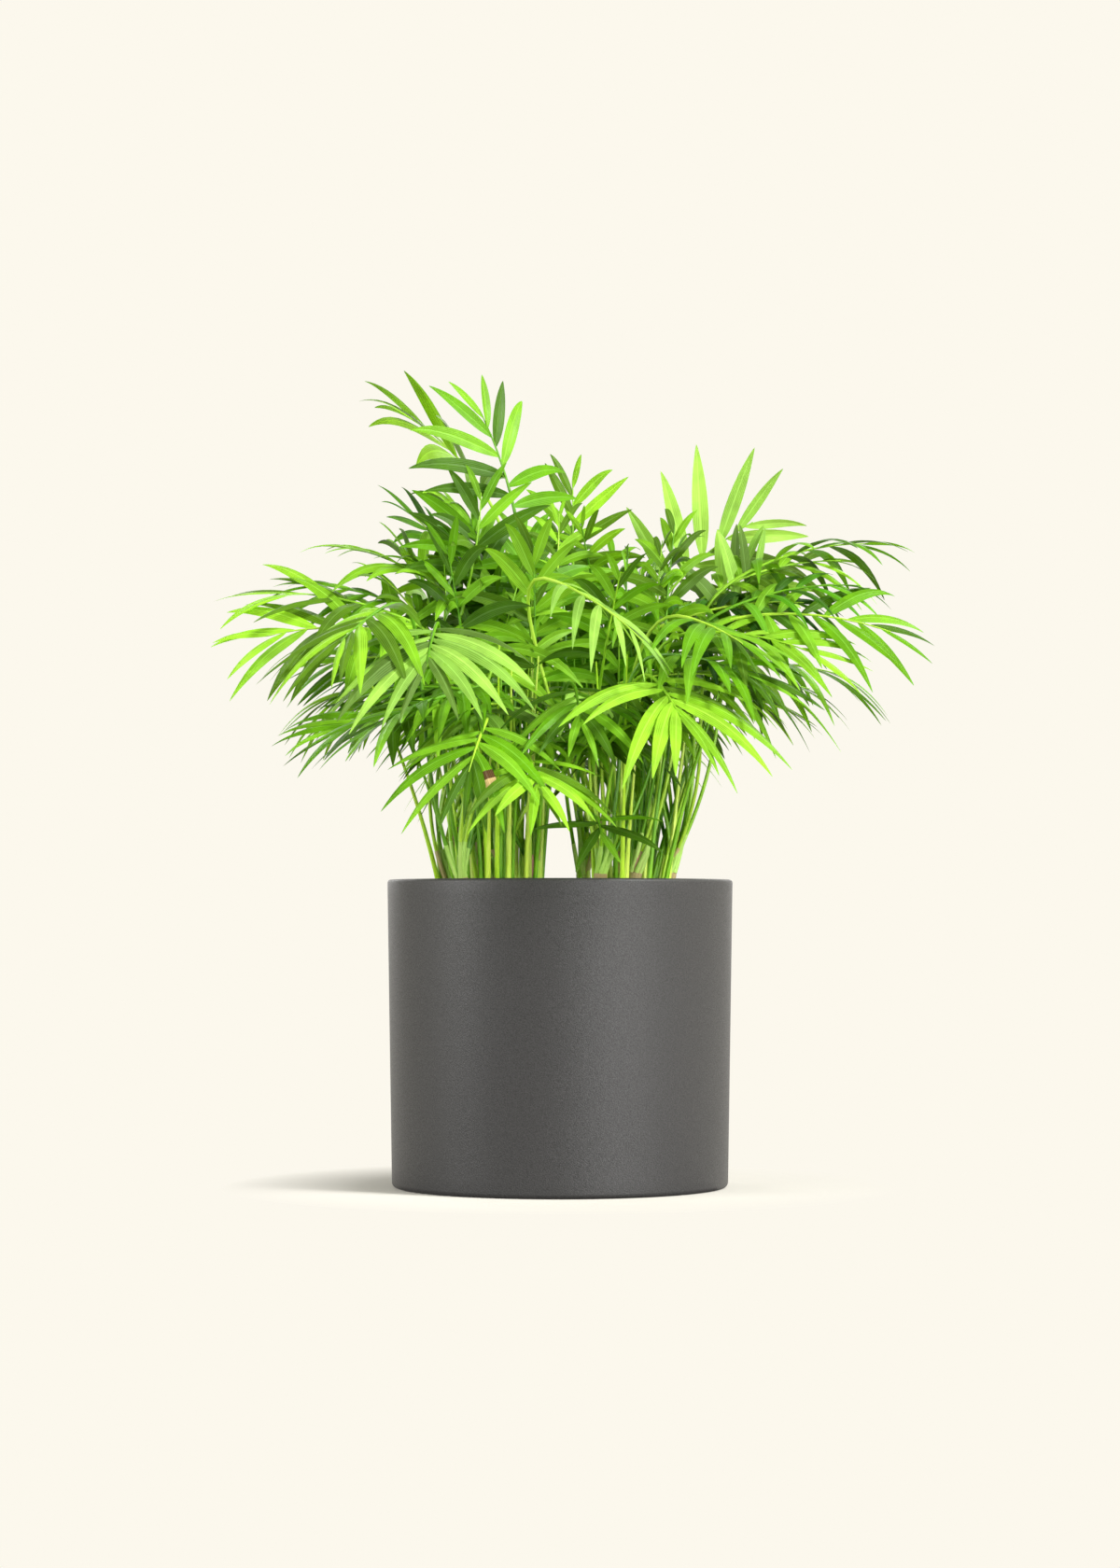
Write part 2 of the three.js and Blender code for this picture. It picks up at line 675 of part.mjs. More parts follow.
// Grows every frond in turn, so that each keeps to free space
function growFronds(fronds, fixed) {
  const plans = fronds.map((frond) => ({ frond, ...stalkRings(frond) }));
  const bare = plans.map(({ frond, rings }) => frondSurface(frond, rings, []).solid());
  const grown = [];
  return plans.map(({ frond, shares, rings }, index) => {
    const draw = seededDraw(LEAFLET_SEED + index);
    const stalks = bare.filter((_, i) => i !== index);
    const others = [...fixed, ...stalks, ...grown];
    const own = [];
    const shapes = Array.from({ length: frond.count }, (_, i) => {
      const ring = PETIOLE_STEPS + i;
      const plan = leafletPlan(frond, i, draw);
      const middle = (shares[ring - 1] + shares[ring]) / 2;
      const rootPoints = leafletRoot(plan.side, rings[ring], rings[ring + 1]);
      return freeShape(stalkFrame(frond, middle), plan, rootPoints, others, own);
    });
    const surface = frondSurface(frond, rings, shapes);
    const solid = surface.solid();
    grown.push(solid);
    return { frond, surface, solid };
  });
}

// The sheath that holds the feet of the two stalks at the back of a cane
function sheathSolid(cane) {
  const [right, back] = acrossAxis(cane.axis);
  const made = new Surface();
  const middle = slotPoint(cane, BACK_SLOTS[0]).lerp(slotPoint(cane, BACK_SLOTS[1]), 0.5);
  const rings = [0, SHEATH_HEIGHT].map((height) => {
    const centre = middle.clone().addScaledVector(cane.axis, height);
    const corner = (x, y) =>
      centre
        .clone()
        .addScaledVector(right, x * SHEATH_HALF_WIDTH)
        .addScaledVector(back, y * SHEATH_HALF_DEPTH);
    return made.ring([corner(-1, -1), corner(1, -1), corner(1, 1), corner(-1, 1)]);
  });
  made.startCap(rings[0]);
  made.bridge(rings[0], rings[1]);
  made.endCap(rings[1]);
  return made.solid();
}

// The surface of a finished solid as a geometry
function geometryOf(solid) {
  const mesh = solid.getMesh();
  const made = new THREE.BufferGeometry();
  made.setAttribute('position', new THREE.Float32BufferAttribute(mesh.vertProperties, mesh.numProp));
  made.setIndex([...mesh.triVerts]);
  return made;
}

function material(colour, roughness) {
  return new THREE.MeshStandardMaterial({ color: colour, roughness, metalness: 0 });
}

function namedMesh(name, geometry, look) {
  const mesh = new THREE.Mesh(geometry, look);
  mesh.name = name;
  return mesh;
}

function solidOf(geometry) {
  const surface = new Surface();
  const positions = geometry.getAttribute('position');
  const keys = new Map();
  const ids = Array.from({ length: positions.count }, (_, i) => {
    const point = vector(positions.getX(i), positions.getY(i), positions.getZ(i));
    const key = point.toArray().map((value) => Math.round(value * 100)).join();
    if (!keys.has(key)) keys.set(key, surface.ring([point])[0]);
    return keys.get(key);
  });
  const index = geometry.getIndex().array;
  for (let i = 0; i < index.length; i += 3) {
    const [a, b, c] = [ids[index[i]], ids[index[i + 1]], ids[index[i + 2]]];
    if (a !== b && b !== c && c !== a) surface.face(a, b, c);
  }
  return surface.solid();
}

function pottedPalm() {
  const group = new THREE.Group();
  group.name = 'potted_parlor_palm';
  const pot = potGeometry();
  group.add(namedMesh('pot', pot, material(0x565656, 0.55)));
  group.add(namedMesh('potting_mix', soilGeometry(), material(0x2f241c, 0.95)));

  const canes = makeCanes();
  const caneLook = material(0x7d9a3c, 0.6);
  const caneSurfaces = canes.map(caneSurface);
  canes.forEach((cane, i) => group.add(namedMesh(cane.name, caneSurfaces[i].geometry(), caneLook)));

  const front = frontFronds();
  const back = backFronds();
  const fronds = [...front, ...back.flat()];
  placeStalks(fronds, canes);
  const fixed = [solidOf(pot), ...caneSurfaces.map((surface) => surface.solid())];
  const looks = {};
  Object.entries(TINTS).forEach(([tint, colour]) => {
    looks[tint] = material(colour, 0.45);
  });
  const grown = new Map(growFronds(fronds, fixed).map((result) => [result.frond, result]));
  front.forEach((frond) => {
    group.add(namedMesh(frond.name, grown.get(frond).surface.geometry(), looks[frond.tint]));
  });
  back.forEach((pair) => {
    const [first, second] = pair.map((frond) => grown.get(frond).solid);
    const joined = first.add(sheathSolid(pair[0].cane)).add(second);
    group.add(namedMesh(pair[0].name, geometryOf(joined), looks[pair[0].tint]));
  });
  return group;
}

export default pottedPalm();
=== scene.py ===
"""A potted parlor palm: two close clumps of seedlings with arching feather fronds, in a charcoal planter.

Plans are in millimetres and degrees, in the frame of the CAD part: +Z is up, the front faces -Y, and a
heading is measured from +X towards +Y. Meshes are scaled to metres as they are made.
"""

from __future__ import annotations

import logging
import math
from dataclasses import dataclass, field
from enum import Enum
from typing import Iterable, Sequence

import bpy
import numpy as np
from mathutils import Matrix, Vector, noise

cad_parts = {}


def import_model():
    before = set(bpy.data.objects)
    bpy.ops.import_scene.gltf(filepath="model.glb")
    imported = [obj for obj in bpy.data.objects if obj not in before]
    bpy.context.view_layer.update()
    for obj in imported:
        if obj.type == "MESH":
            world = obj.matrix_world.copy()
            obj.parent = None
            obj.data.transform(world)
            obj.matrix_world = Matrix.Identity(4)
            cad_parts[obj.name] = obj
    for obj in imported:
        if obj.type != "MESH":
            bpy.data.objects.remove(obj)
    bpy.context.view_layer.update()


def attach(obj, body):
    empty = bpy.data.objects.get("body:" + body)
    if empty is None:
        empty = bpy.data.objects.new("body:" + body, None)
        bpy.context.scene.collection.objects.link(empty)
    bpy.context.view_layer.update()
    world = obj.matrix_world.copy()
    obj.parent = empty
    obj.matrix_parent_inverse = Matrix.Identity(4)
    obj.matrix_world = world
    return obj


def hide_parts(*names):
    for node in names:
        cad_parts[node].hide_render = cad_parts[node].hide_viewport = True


LOG = logging.getLogger("parlor_palm")
MM = 0.001
BODY = "root"
UP = np.array([0.0, 0.0, 1.0])
# A direction that no stalk or cane runs along, to set out their rings from.
ASKEW = np.array([0.31, 0.94, 0.11])
# The radius at which a turned surface ends in a small cap, instead of in one point.
POLE = 0.01

Rgb = tuple[float, float, float]
Place = tuple[float, float, float]


def mix(start: float, end: float, share: float) -> float:
    """A value part of the way from start to end."""
    return start + (end - start) * share


def linear(code: int) -> Rgb:
    """A screen colour, written as one hexadecimal number, as the linear colour that shaders take."""
    parts = [((code >> shift) & 255) / 255 for shift in (16, 8, 0)]
    return tuple(p / 12.92 if p <= 0.04045 else ((p + 0.055) / 1.055) ** 2.4 for p in parts)


def unit(way: np.ndarray) -> np.ndarray:
    """A direction cut to length 1."""
    return way / np.linalg.norm(way)


def units(ways: np.ndarray) -> np.ndarray:
    """Directions cut to length 1, one row each."""
    return ways / np.linalg.norm(ways, axis=1)[:, None]


def turns_round(sides: int) -> np.ndarray:
    """Angles spread evenly round a circle, in radians."""
    return np.arange(sides) * (2 * math.pi / sides)


def level_ring(radius: float, height: float, sides: int) -> np.ndarray:
    """Points of a level circle about the upright axis, one row each."""
    turns = turns_round(sides)
    return np.stack([radius * np.cos(turns), radius * np.sin(turns), np.full(sides, height)], axis=1)


def turned_uv(sides: int, runs: Iterable[float]) -> np.ndarray:
    """UVs of a turned surface: u goes round it and v takes the runs given."""
    return np.stack(np.meshgrid(np.arange(sides) / sides, runs), axis=2)


class SeededDraw:
    """A run of draws that is the same each time, as the part's own source makes it."""

    SPREAD = 2654435761
    FACTOR = 1664525
    OFFSET = 1013904223
    SPAN = 4294967296

    def __init__(self, seed: int) -> None:
        """Starts the run from a seed."""
        self.state = (seed + 1) * self.SPREAD % self.SPAN

    def __call__(self, low: float, high: float) -> float:
        """The next draw between two values."""
        self.state = (self.state * self.FACTOR + self.OFFSET) % self.SPAN
        return mix(low, high, self.state / self.SPAN)

    def pick(self, count: int) -> int:
        """The next draw as one of a number of choices."""
        return int(self(0, count - 0.001))


class EvenCurve:
    """A Bezier curve that is read by shares of its length."""

    STEPS = 200
    NUDGE = 1e-4

    def __init__(self, controls: Sequence[np.ndarray]) -> None:
        """Measures the curve that its control points give.

        Args:
            controls: its control points, from start to end.
        """
        self.controls = np.array(controls, float)
        self.shares = np.linspace(0, 1, self.STEPS + 1)
        steps = np.linalg.norm(np.diff(self._at(self.shares), axis=0), axis=1)
        self.lengths = np.concatenate([[0.0], np.cumsum(steps)])

    def _at(self, shares: np.ndarray) -> np.ndarray:
        """Points at the curve's own parameter, one row each.

        Args:
            shares: values of the parameter, from 0 to 1.

        Returns:
            The points.
        """
        order = len(self.controls) - 1
        along = np.asarray(shares, float)[:, None]
        terms = [
            math.comb(order, i) * along**i * (1 - along) ** (order - i) * self.controls[i]
            for i in range(order + 1)
        ]
        return sum(terms)

    def points(self, shares: Iterable[float]) -> np.ndarray:
        """Points at shares of the curve's length, one row each."""
        run = np.asarray(list(shares), float) * self.lengths[-1]
        return self._at(np.interp(run, self.lengths, self.shares))

    def tangent(self, share: float) -> np.ndarray:
        """The way the curve runs at a share of its length.

        Args:
            share: the share, from 0 to 1.

        Returns:
            A direction of length 1.
        """
        at = float(np.interp(share * self.lengths[-1], self.lengths, self.shares))
        ends = self._at(np.array([max(at - self.NUDGE, 0), min(at + self.NUDGE, 1)]))
        return unit(ends[1] - ends[0])


@dataclass
class MeshDraft:
    """Points, faces, face materials and face corners' UVs, gathered before one mesh is made of them."""

    points: list[np.ndarray] = field(default_factory=list)
    faces: list[tuple[int, ...]] = field(default_factory=list)
    looks: list[int] = field(default_factory=list)
    uvs: list[np.ndarray] = field(default_factory=list)
    count: int = 0

    def grid(self, places: np.ndarray, uv: np.ndarray, look: int = 0, closed: bool = False) -> None:
        """Adds rows of points joined by quads.

        Args:
            places: rows x columns x 3, in millimetres.
            uv: rows x columns x 2.
            look: the material slot of its faces.
            closed: whether each row's last point joins its first.
        """
        rows, columns = places.shape[:2]
        base = self.count
        self.points.append(places.reshape(-1, 3))
        self.uvs.append(uv.reshape(-1, 2))
        self.count += rows * columns
        across = columns if closed else columns - 1
        for row in range(rows - 1):
            for column in range(across):
                after = (column + 1) % columns
                a = base + row * columns + column
                b = base + row * columns + after
                self.faces.append((a, b, b + columns, a + columns))
                self.looks.append(look)

    def cap(self, ring: np.ndarray, look: int = 0, turned: bool = False) -> None:
        """Closes a ring of points with one face of its own.

        Args:
            ring: the points, one row each.
            look: the face's material slot.
            turned: whether the face looks the other way.
        """
        base = self.count
        self.points.append(ring)
        self.uvs.append(np.zeros((len(ring), 2)))
        self.count += len(ring)
        face = tuple(range(base, base + len(ring)))
        self.faces.append(face[::-1] if turned else face)
        self.looks.append(look)

    def turned(self, rows: np.ndarray, uv: np.ndarray, look: int = 0) -> None:
        """Adds closed rows of points with a cap at either end.

        Args:
            rows: rows x columns x 3, in millimetres.
            uv: rows x columns x 2.
            look: the material slot of its faces.
        """
        self.grid(rows, uv, look, closed=True)
        self.cap(rows[0], look, turned=True)
        self.cap(rows[-1], look)

    def add(self, places: np.ndarray, faces: Iterable[tuple[int, ...]], look: int = 0) -> None:
        """Adds points with faces that are numbered from the first of them.

        Args:
            places: the points, one row each.
            faces: the numbers of each face's points.
            look: the material slot of its faces.
        """
        base = self.count
        self.points.append(places)
        self.uvs.append(np.zeros((len(places), 2)))
        self.count += len(places)
        for face in faces:
            self.faces.append(tuple(base + i for i in face))
            self.looks.append(look)

    def build(self, name: str, materials: Sequence[bpy.types.Material]) -> bpy.types.Object:
        """Makes the object, in metres, with smooth faces.

        Args:
            name: the piece's name.
            materials: one for each material slot that the faces name.

        Returns:
            The new object, in the scene's collection.
        """
        mesh = bpy.data.meshes.new(name)
        places = np.concatenate(self.points) * MM
        mesh.from_pydata(places.tolist(), [], self.faces)
        for material in materials:
            mesh.materials.append(material)
        mesh.polygons.foreach_set("material_index", self.looks)
        mesh.polygons.foreach_set("use_smooth", [True] * len(self.faces))
        corners = np.empty(len(mesh.loops), int)
        mesh.loops.foreach_get("vertex_index", corners)
        layer = mesh.uv_layers.new(name="growth")
        layer.data.foreach_set("uv", np.concatenate(self.uvs)[corners].ravel())
        mesh.update()
        made = bpy.data.objects.new(name, mesh)
        bpy.context.scene.collection.objects.link(made)
        return made


def tube(
    draft: MeshDraft,
    centres: np.ndarray,
    radii: Sequence[float],
    sides: int,
    look: int = 0,
) -> None:
    """Adds a round tube along a line of points, closed at both ends. Its v runs by 1 every 100 mm.

    Args:
        draft: the mesh that takes it.
        centres: the line, one row a point.
        radii: the radius at each point.
        sides: how many sides it has.
        look: its material slot.
    """
    ways = units(np.gradient(centres, axis=0))
    right = unit(np.cross(ways[0], ASKEW))
    turns = turns_round(sides)
    rows = []
    for centre, way, radius in zip(centres, ways, radii):
        right = unit(right - way * np.dot(right, way))
        over = np.cross(way, right)
        rows.append(centre + radius * (np.cos(turns)[:, None] * right + np.sin(turns)[:, None] * over))
    run = np.concatenate([[0.0], np.cumsum(np.linalg.norm(np.diff(centres, axis=0), axis=1))])
    draft.turned(np.array(rows), turned_uv(sides, run / 100), look)


class NodeSheet:
    """Short ways to put nodes in a tree and join them."""

    def __init__(self, tree: bpy.types.NodeTree) -> None:
        """Takes the tree to work on."""
        self.tree = tree

    def node(self, kind: str, **settings: object) -> bpy.types.Node:
        """Adds a node and sets its own settings.

        Args:
            kind: the node's type.
            settings: its settings, by name.

        Returns:
            The node.
        """
        made = self.tree.nodes.new(kind)
        for name, value in settings.items():
            setattr(made, name, value)
        return made

    def join(self, source: bpy.types.NodeSocket, target: bpy.types.NodeSocket) -> None:
        """Links one socket to another."""
        self.tree.links.new(source, target)

    def sum(
        self, operation: str, first: bpy.types.NodeSocket | float, second: bpy.types.NodeSocket | float
    ) -> bpy.types.NodeSocket:
        """A math node on two values or sockets.

        Args:
            operation: the math node's own name for it.
            first: the first value.
            second: the second value.

        Returns:
            The result's socket.
        """
        made = self.node("ShaderNodeMath", operation=operation)
        for value, socket in zip((first, second), made.inputs):
            if isinstance(value, bpy.types.NodeSocket):
                self.join(value, socket)
            else:
                socket.default_value = value
        return made.outputs[0]

    def blend(
        self,
        share: bpy.types.NodeSocket,
        low: bpy.types.NodeSocket,
        high: bpy.types.NodeSocket,
    ) -> bpy.types.NodeSocket:
        """A colour part of the way from low to high.

        Args:
            share: how far it goes, from 0 to 1.
            low: the colour at 0.
            high: the colour at 1.

        Returns:
            The colour's socket.
        """
        made = self.node("ShaderNodeMix", data_type="RGBA")
        self.join(share, made.inputs["Factor"])
        self.join(low, made.inputs["A"])
        self.join(high, made.inputs["B"])
        return made.outputs["Result"]

    def colour(self, colour: Rgb) -> bpy.types.NodeSocket:
        """A constant colour.

        Args:
            colour: the linear colour.

        Returns:
            The colour's socket.
        """
        made = self.node("ShaderNodeRGB")
        made.outputs[0].default_value = (*colour, 1)
        return made.outputs[0]

    def relief(
        self,
        shader: bpy.types.Node,
        height: bpy.types.NodeSocket,
        strength: float,
        distance: float,
    ) -> None:
        """Gives a shader a fine relief.

        Args:
            shader: the shader that takes it.
            height: how high the relief stands.
            strength: how much of it shows.
            distance: its depth in metres.
        """
        made = self.node("ShaderNodeBump")
        made.inputs["Strength"].default_value = strength
        made.inputs["Distance"].default_value = distance
        self.join(height, made.inputs["Height"])
        self.join(made.outputs[0], shader.inputs["Normal"])

    def noise(self, scale: float, detail: float = 2.0, source: str = "Object") -> bpy.types.NodeSocket:
        """Noise in the piece's own space, or along its UVs.

        Args:
            scale: how many grains to a unit.
            detail: how many finer layers it has.
            source: the texture coordinate that it follows.

        Returns:
            The noise's socket, from 0 to 1.
        """
        place = self.node("ShaderNodeTexCoord")
        made = self.node("ShaderNodeTexNoise")
        made.inputs["Scale"].default_value = scale
        made.inputs["Detail"].default_value = detail
        self.join(place.outputs[source], made.inputs["Vector"])
        return made.outputs["Fac"]

    def span(
        self, value: bpy.types.NodeSocket, source: tuple[float, float], target: tuple[float, float]
    ) -> bpy.types.NodeSocket:
        """Maps a value from one range to another and keeps it inside.

        Args:
            value: the value's socket.
            source: the range that it comes from.
            target: the range that it goes to.

        Returns:
            The result's socket.
        """
        made = self.node("ShaderNodeMapRange")
        self.join(value, made.inputs["Value"])
        made.inputs["From Min"].default_value = source[0]
        made.inputs["From Max"].default_value = source[1]
        made.inputs["To Min"].default_value = target[0]
        made.inputs["To Max"].default_value = target[1]
        return made.outputs["Result"]


def new_group(
    name: str,
    inputs: Sequence[tuple[str, str, object]],
    outputs: Sequence[tuple[str, str]],
) -> tuple[bpy.types.NodeTree, NodeSheet, bpy.types.Node, bpy.types.Node]:
    """An empty shader group with named sockets.

    Args:
        name: the group's name.
        inputs: each input's name, socket type and default.
        outputs: each output's name and socket type.

    Returns:
        The group, a sheet for its nodes, and its input and output nodes.
    """
    group = bpy.data.node_groups.new(name, "ShaderNodeTree")
    for label, kind, value in inputs:
        socket = group.interface.new_socket(name=label, in_out="INPUT", socket_type=kind)
        socket.default_value = value
    for label, kind in outputs:
        group.interface.new_socket(name=label, in_out="OUTPUT", socket_type=kind)
    sheet = NodeSheet(group)
    return group, sheet, sheet.node("NodeGroupInput"), sheet.node("NodeGroupOutput")


class Effects:
    """The shader groups that more than one finish uses, each made once."""

    def __init__(self) -> None:
        """Makes every group."""
        self.veins = self._veins()
        self.grain = self._grain()

    def _veins(self) -> bpy.types.NodeTree:
        """Long veins across a blade or stalk, from its UVs: u runs across and v along.

        Returns:
            The group, which gives the veins, the middle rib and a mottle.
        """
        group, sheet, given, result = new_group(
            "long_veins",
            [("Count", "NodeSocketFloat", 7.0), ("Wander", "NodeSocketFloat", 0.25)],
            [("Vein", "NodeSocketFloat"), ("Rib", "NodeSocketFloat"), ("Mottle", "NodeSocketFloat")],
        )
        place = sheet.node("ShaderNodeTexCoord")
        split = sheet.node("ShaderNodeSeparateXYZ")
        sheet.join(place.outputs["UV"], split.inputs[0])
        wander = sheet.sum("MULTIPLY", sheet.noise(3.0, 1.0, "UV"), given.outputs["Wander"])
        turns = sheet.sum("MULTIPLY", split.outputs["X"], given.outputs["Count"])
        phase = sheet.sum("MULTIPLY", sheet.sum("ADD", turns, wander), 2 * math.pi)
        wave = sheet.sum("COSINE", phase, 0.0)
        sheet.join(sheet.span(wave, (0.35, 1.0), (0.0, 1.0)), result.inputs["Vein"])
        off_middle = sheet.sum("ABSOLUTE", sheet.sum("SUBTRACT", split.outputs["X"], 0.5), 0.0)
        sheet.join(sheet.span(off_middle, (0.0, 0.07), (1.0, 0.0)), result.inputs["Rib"])
        sheet.join(sheet.noise(55.0, 3.0), result.inputs["Mottle"])
        return group

    def _grain(self) -> bpy.types.NodeTree:
        """Fine specks and soft patches over a surface, in its own space.

        Returns:
            The group, which gives the specks, the patches and a height for the relief.
        """
        group, sheet, given, result = new_group(
            "fine_grain",
            [("Specks", "NodeSocketFloat", 1400.0), ("Patches", "NodeSocketFloat", 12.0)],
            [("Speck", "NodeSocketFloat"), ("Patch", "NodeSocketFloat"), ("Height", "NodeSocketFloat")],
        )
        place = sheet.node("ShaderNodeTexCoord")
        fine = sheet.node("ShaderNodeTexNoise")
        fine.inputs["Detail"].default_value = 2.0
        sheet.join(place.outputs["Object"], fine.inputs["Vector"])
        sheet.join(given.outputs["Specks"], fine.inputs["Scale"])
        wide = sheet.node("ShaderNodeTexNoise")
        wide.inputs["Detail"].default_value = 3.0
        sheet.join(place.outputs["Object"], wide.inputs["Vector"])
        sheet.join(given.outputs["Patches"], wide.inputs["Scale"])
        sheet.join(sheet.span(fine.outputs["Fac"], (0.35, 0.68), (0.0, 1.0)), result.inputs["Speck"])
        sheet.join(sheet.span(wide.outputs["Fac"], (0.3, 0.7), (0.0, 1.0)), result.inputs["Patch"])
        sheet.join(fine.outputs["Fac"], result.inputs["Height"])
        return group


def place_group(sheet: NodeSheet, group: bpy.types.NodeTree, **values: float) -> bpy.types.Node:
    """Puts a group in a material with its own values.

    Args:
        sheet: the material's nodes.
        group: the group.
        values: the inputs to set, by name.

    Returns:
        The group's node.
    """
    made = sheet.node("ShaderNodeGroup", node_tree=group)
    for name, value in values.items():
        made.inputs[name].default_value = value
    return made


def new_material(name: str) -> tuple[bpy.types.Material, NodeSheet, bpy.types.Node, bpy.types.Node]:
    """A material with its Principled shader joined to its output.

    Args:
        name: the material's name.

    Returns:
        The material, a sheet for its nodes, its shader and its output node.
    """
    made = bpy.data.materials.new(name)
    made.use_nodes = True
    shader = made.node_tree.nodes["Principled BSDF"]
    output = made.node_tree.nodes["Material Output"]
    return made, NodeSheet(made.node_tree), shader, output


class Tint(Enum):
    """The tints of the fronds, by the screen colour of a leaflet's face: paler for new growth and darker
    for old, and also painted light and shade, paler for fronds out in the light and darker, down to the
    shade tint, for fronds set back in the crown.
    """

    PALE = 0x94C84C
    LIGHT = 0x8CCA20
    MID = 0x70B20A
    DEEP = 0x5AA408
    SHADE = 0x3C7E0A

    @property
    def plain(self) -> str:
        """The tint's name in small letters, as the piece and material names write it."""
        return self.name.lower()


@dataclass(frozen=True)
class LeafFinish:
    """A leaflet's face: satin, with long veins, a paler rib, and light that comes through it."""

    name: str
    colour: Rgb
    rough: float = 0.34
    gloss: float = 0.17
    through: float = 0.3
    through_tint: Rgb = (1.0, 1.0, 0.22)
    dark_share: float = 0.55
    rib_gain: float = 1.3
    rib_lift: float = 0.06

    def material(self, effects: Effects) -> bpy.types.Material:
        """Makes the material from the shared groups.

        Args:
            effects: the shared groups.

        Returns:
            The material.
        """
        made, sheet, shader, output = new_material(self.name)
        veins = place_group(sheet, effects.veins, Count=9.0, Wander=0.3)
        base = sheet.colour(self.colour)
        rib = sheet.colour(tuple(min(1.0, c * self.rib_gain + self.rib_lift) for c in self.colour))
        dark = sheet.colour(tuple(c * self.dark_share for c in self.colour))
        patches = sheet.span(veins.outputs["Mottle"], (0.36, 0.66), (0.0, 0.75))
        mottled = sheet.blend(patches, base, dark)
        striped = sheet.blend(sheet.sum("MULTIPLY", veins.outputs["Vein"], 0.5), mottled, rib)
        faced = sheet.blend(sheet.sum("MULTIPLY", veins.outputs["Rib"], 0.7), striped, rib)
        sheet.join(faced, shader.inputs["Base Color"])
        rough = sheet.span(veins.outputs["Mottle"], (0.3, 0.7), (self.rough - 0.08, self.rough + 0.1))
        sheet.join(rough, shader.inputs["Roughness"])
        shader.inputs["Specular IOR Level"].default_value = self.gloss
        height = sheet.sum("SUBTRACT", veins.outputs["Vein"], veins.outputs["Rib"])
        sheet.relief(shader, height, strength=0.35, distance=0.0004)
        warm = sheet.node("ShaderNodeMix", data_type="RGBA", blend_type="MULTIPLY")
        warm.inputs["Factor"].default_value = 1.0
        sheet.join(faced, warm.inputs["A"])
        warm.inputs["B"].default_value = (*self.through_tint, 1)
        glow = sheet.node("ShaderNodeBsdfTranslucent")
        sheet.join(warm.outputs["Result"], glow.inputs["Color"])
        both = sheet.node("ShaderNodeMixShader")
        both.inputs[0].default_value = self.through
        sheet.join(shader.outputs[0], both.inputs[1])
        sheet.join(glow.outputs[0], both.inputs[2])
        sheet.join(both.outputs[0], output.inputs["Surface"])
        return made


@dataclass(frozen=True)
class StalkFinish:
    """A stalk, cane or sheath: smooth and slightly ribbed, streaked along its length."""

    name: str
    colour: Rgb
    streak: Rgb
    rough: float = 0.4
    ribs: float = 6.0

    def material(self, effects: Effects) -> bpy.types.Material:
        """Makes the material from the shared groups.

        Args:
            effects: the shared groups.

        Returns:
            The material.
        """
        made, sheet, shader, _ = new_material(self.name)
        veins = place_group(sheet, effects.veins, Count=self.ribs, Wander=0.8)
        grain = place_group(sheet, effects.grain, Specks=260.0, Patches=38.0)
        streak = sheet.colour(self.streak)
        patched = sheet.blend(grain.outputs["Patch"], sheet.colour(self.colour), streak)
        lined = sheet.blend(sheet.sum("MULTIPLY", veins.outputs["Vein"], 0.4), patched, streak)
        sheet.join(lined, shader.inputs["Base Color"])
        rough = sheet.span(grain.outputs["Speck"], (0.0, 1.0), (self.rough - 0.06, self.rough + 0.12))
        sheet.join(rough, shader.inputs["Roughness"])
        sheet.relief(shader, veins.outputs["Vein"], strength=0.4, distance=0.0003)
        return made


@dataclass(frozen=True)
class SoilFinish:
    """Moist potting mix, or one of the bits in it."""

    name: str
    colour: Rgb
    crumb: Rgb
    rough: float = 0.92

    def material(self, effects: Effects) -> bpy.types.Material:
        """Makes the material from the shared groups.

        Args:
            effects: the shared groups.

        Returns:
            The material.
        """
        made, sheet, shader, _ = new_material(self.name)
        grain = place_group(sheet, effects.grain, Specks=420.0, Patches=70.0)
        mixed = sheet.blend(grain.outputs["Speck"], sheet.colour(self.colour), sheet.colour(self.crumb))
        sheet.join(mixed, shader.inputs["Base Color"])
        rough = sheet.span(grain.outputs["Patch"], (0.0, 1.0), (self.rough - 0.1, self.rough + 0.06))
        sheet.join(rough, shader.inputs["Roughness"])
        sheet.relief(shader, grain.outputs["Height"], strength=0.8, distance=0.0012)
        return made


@dataclass(frozen=True)
class PotFinish:
    """The planter's cast body: charcoal, satin, with a fine speckled grain."""

    name: str = "charcoal_cast"
    colour: Rgb = linear(0x302F2E)
    speck: Rgb = linear(0x444342)
    dark: Rgb = linear(0x292827)
    rough: float = 0.46
    gloss: float = 0.44

    def material(self, effects: Effects) -> bpy.types.Material:
        """Makes the material from the shared groups.

        Args:
            effects: the shared groups.

        Returns:
            The material.
        """
        made, sheet, shader, _ = new_material(self.name)
        grain = place_group(sheet, effects.grain, Specks=1500.0, Patches=16.0)
        worn = sheet.sum("MULTIPLY", grain.outputs["Patch"], 0.35)
        patched = sheet.blend(worn, sheet.colour(self.colour), sheet.colour(self.dark))
        dusted = sheet.sum("MULTIPLY", grain.outputs["Speck"], 0.8)
        specked = sheet.blend(dusted, patched, sheet.colour(self.speck))
        sheet.join(specked, shader.inputs["Base Color"])
        rough = sheet.span(grain.outputs["Speck"], (0.0, 1.0), (self.rough + 0.1, self.rough - 0.06))
        sheet.join(rough, shader.inputs["Roughness"])
        shader.inputs["Specular IOR Level"].default_value = self.gloss
        sheet.relief(shader, grain.outputs["Height"], strength=0.34, distance=0.0003)
        return made


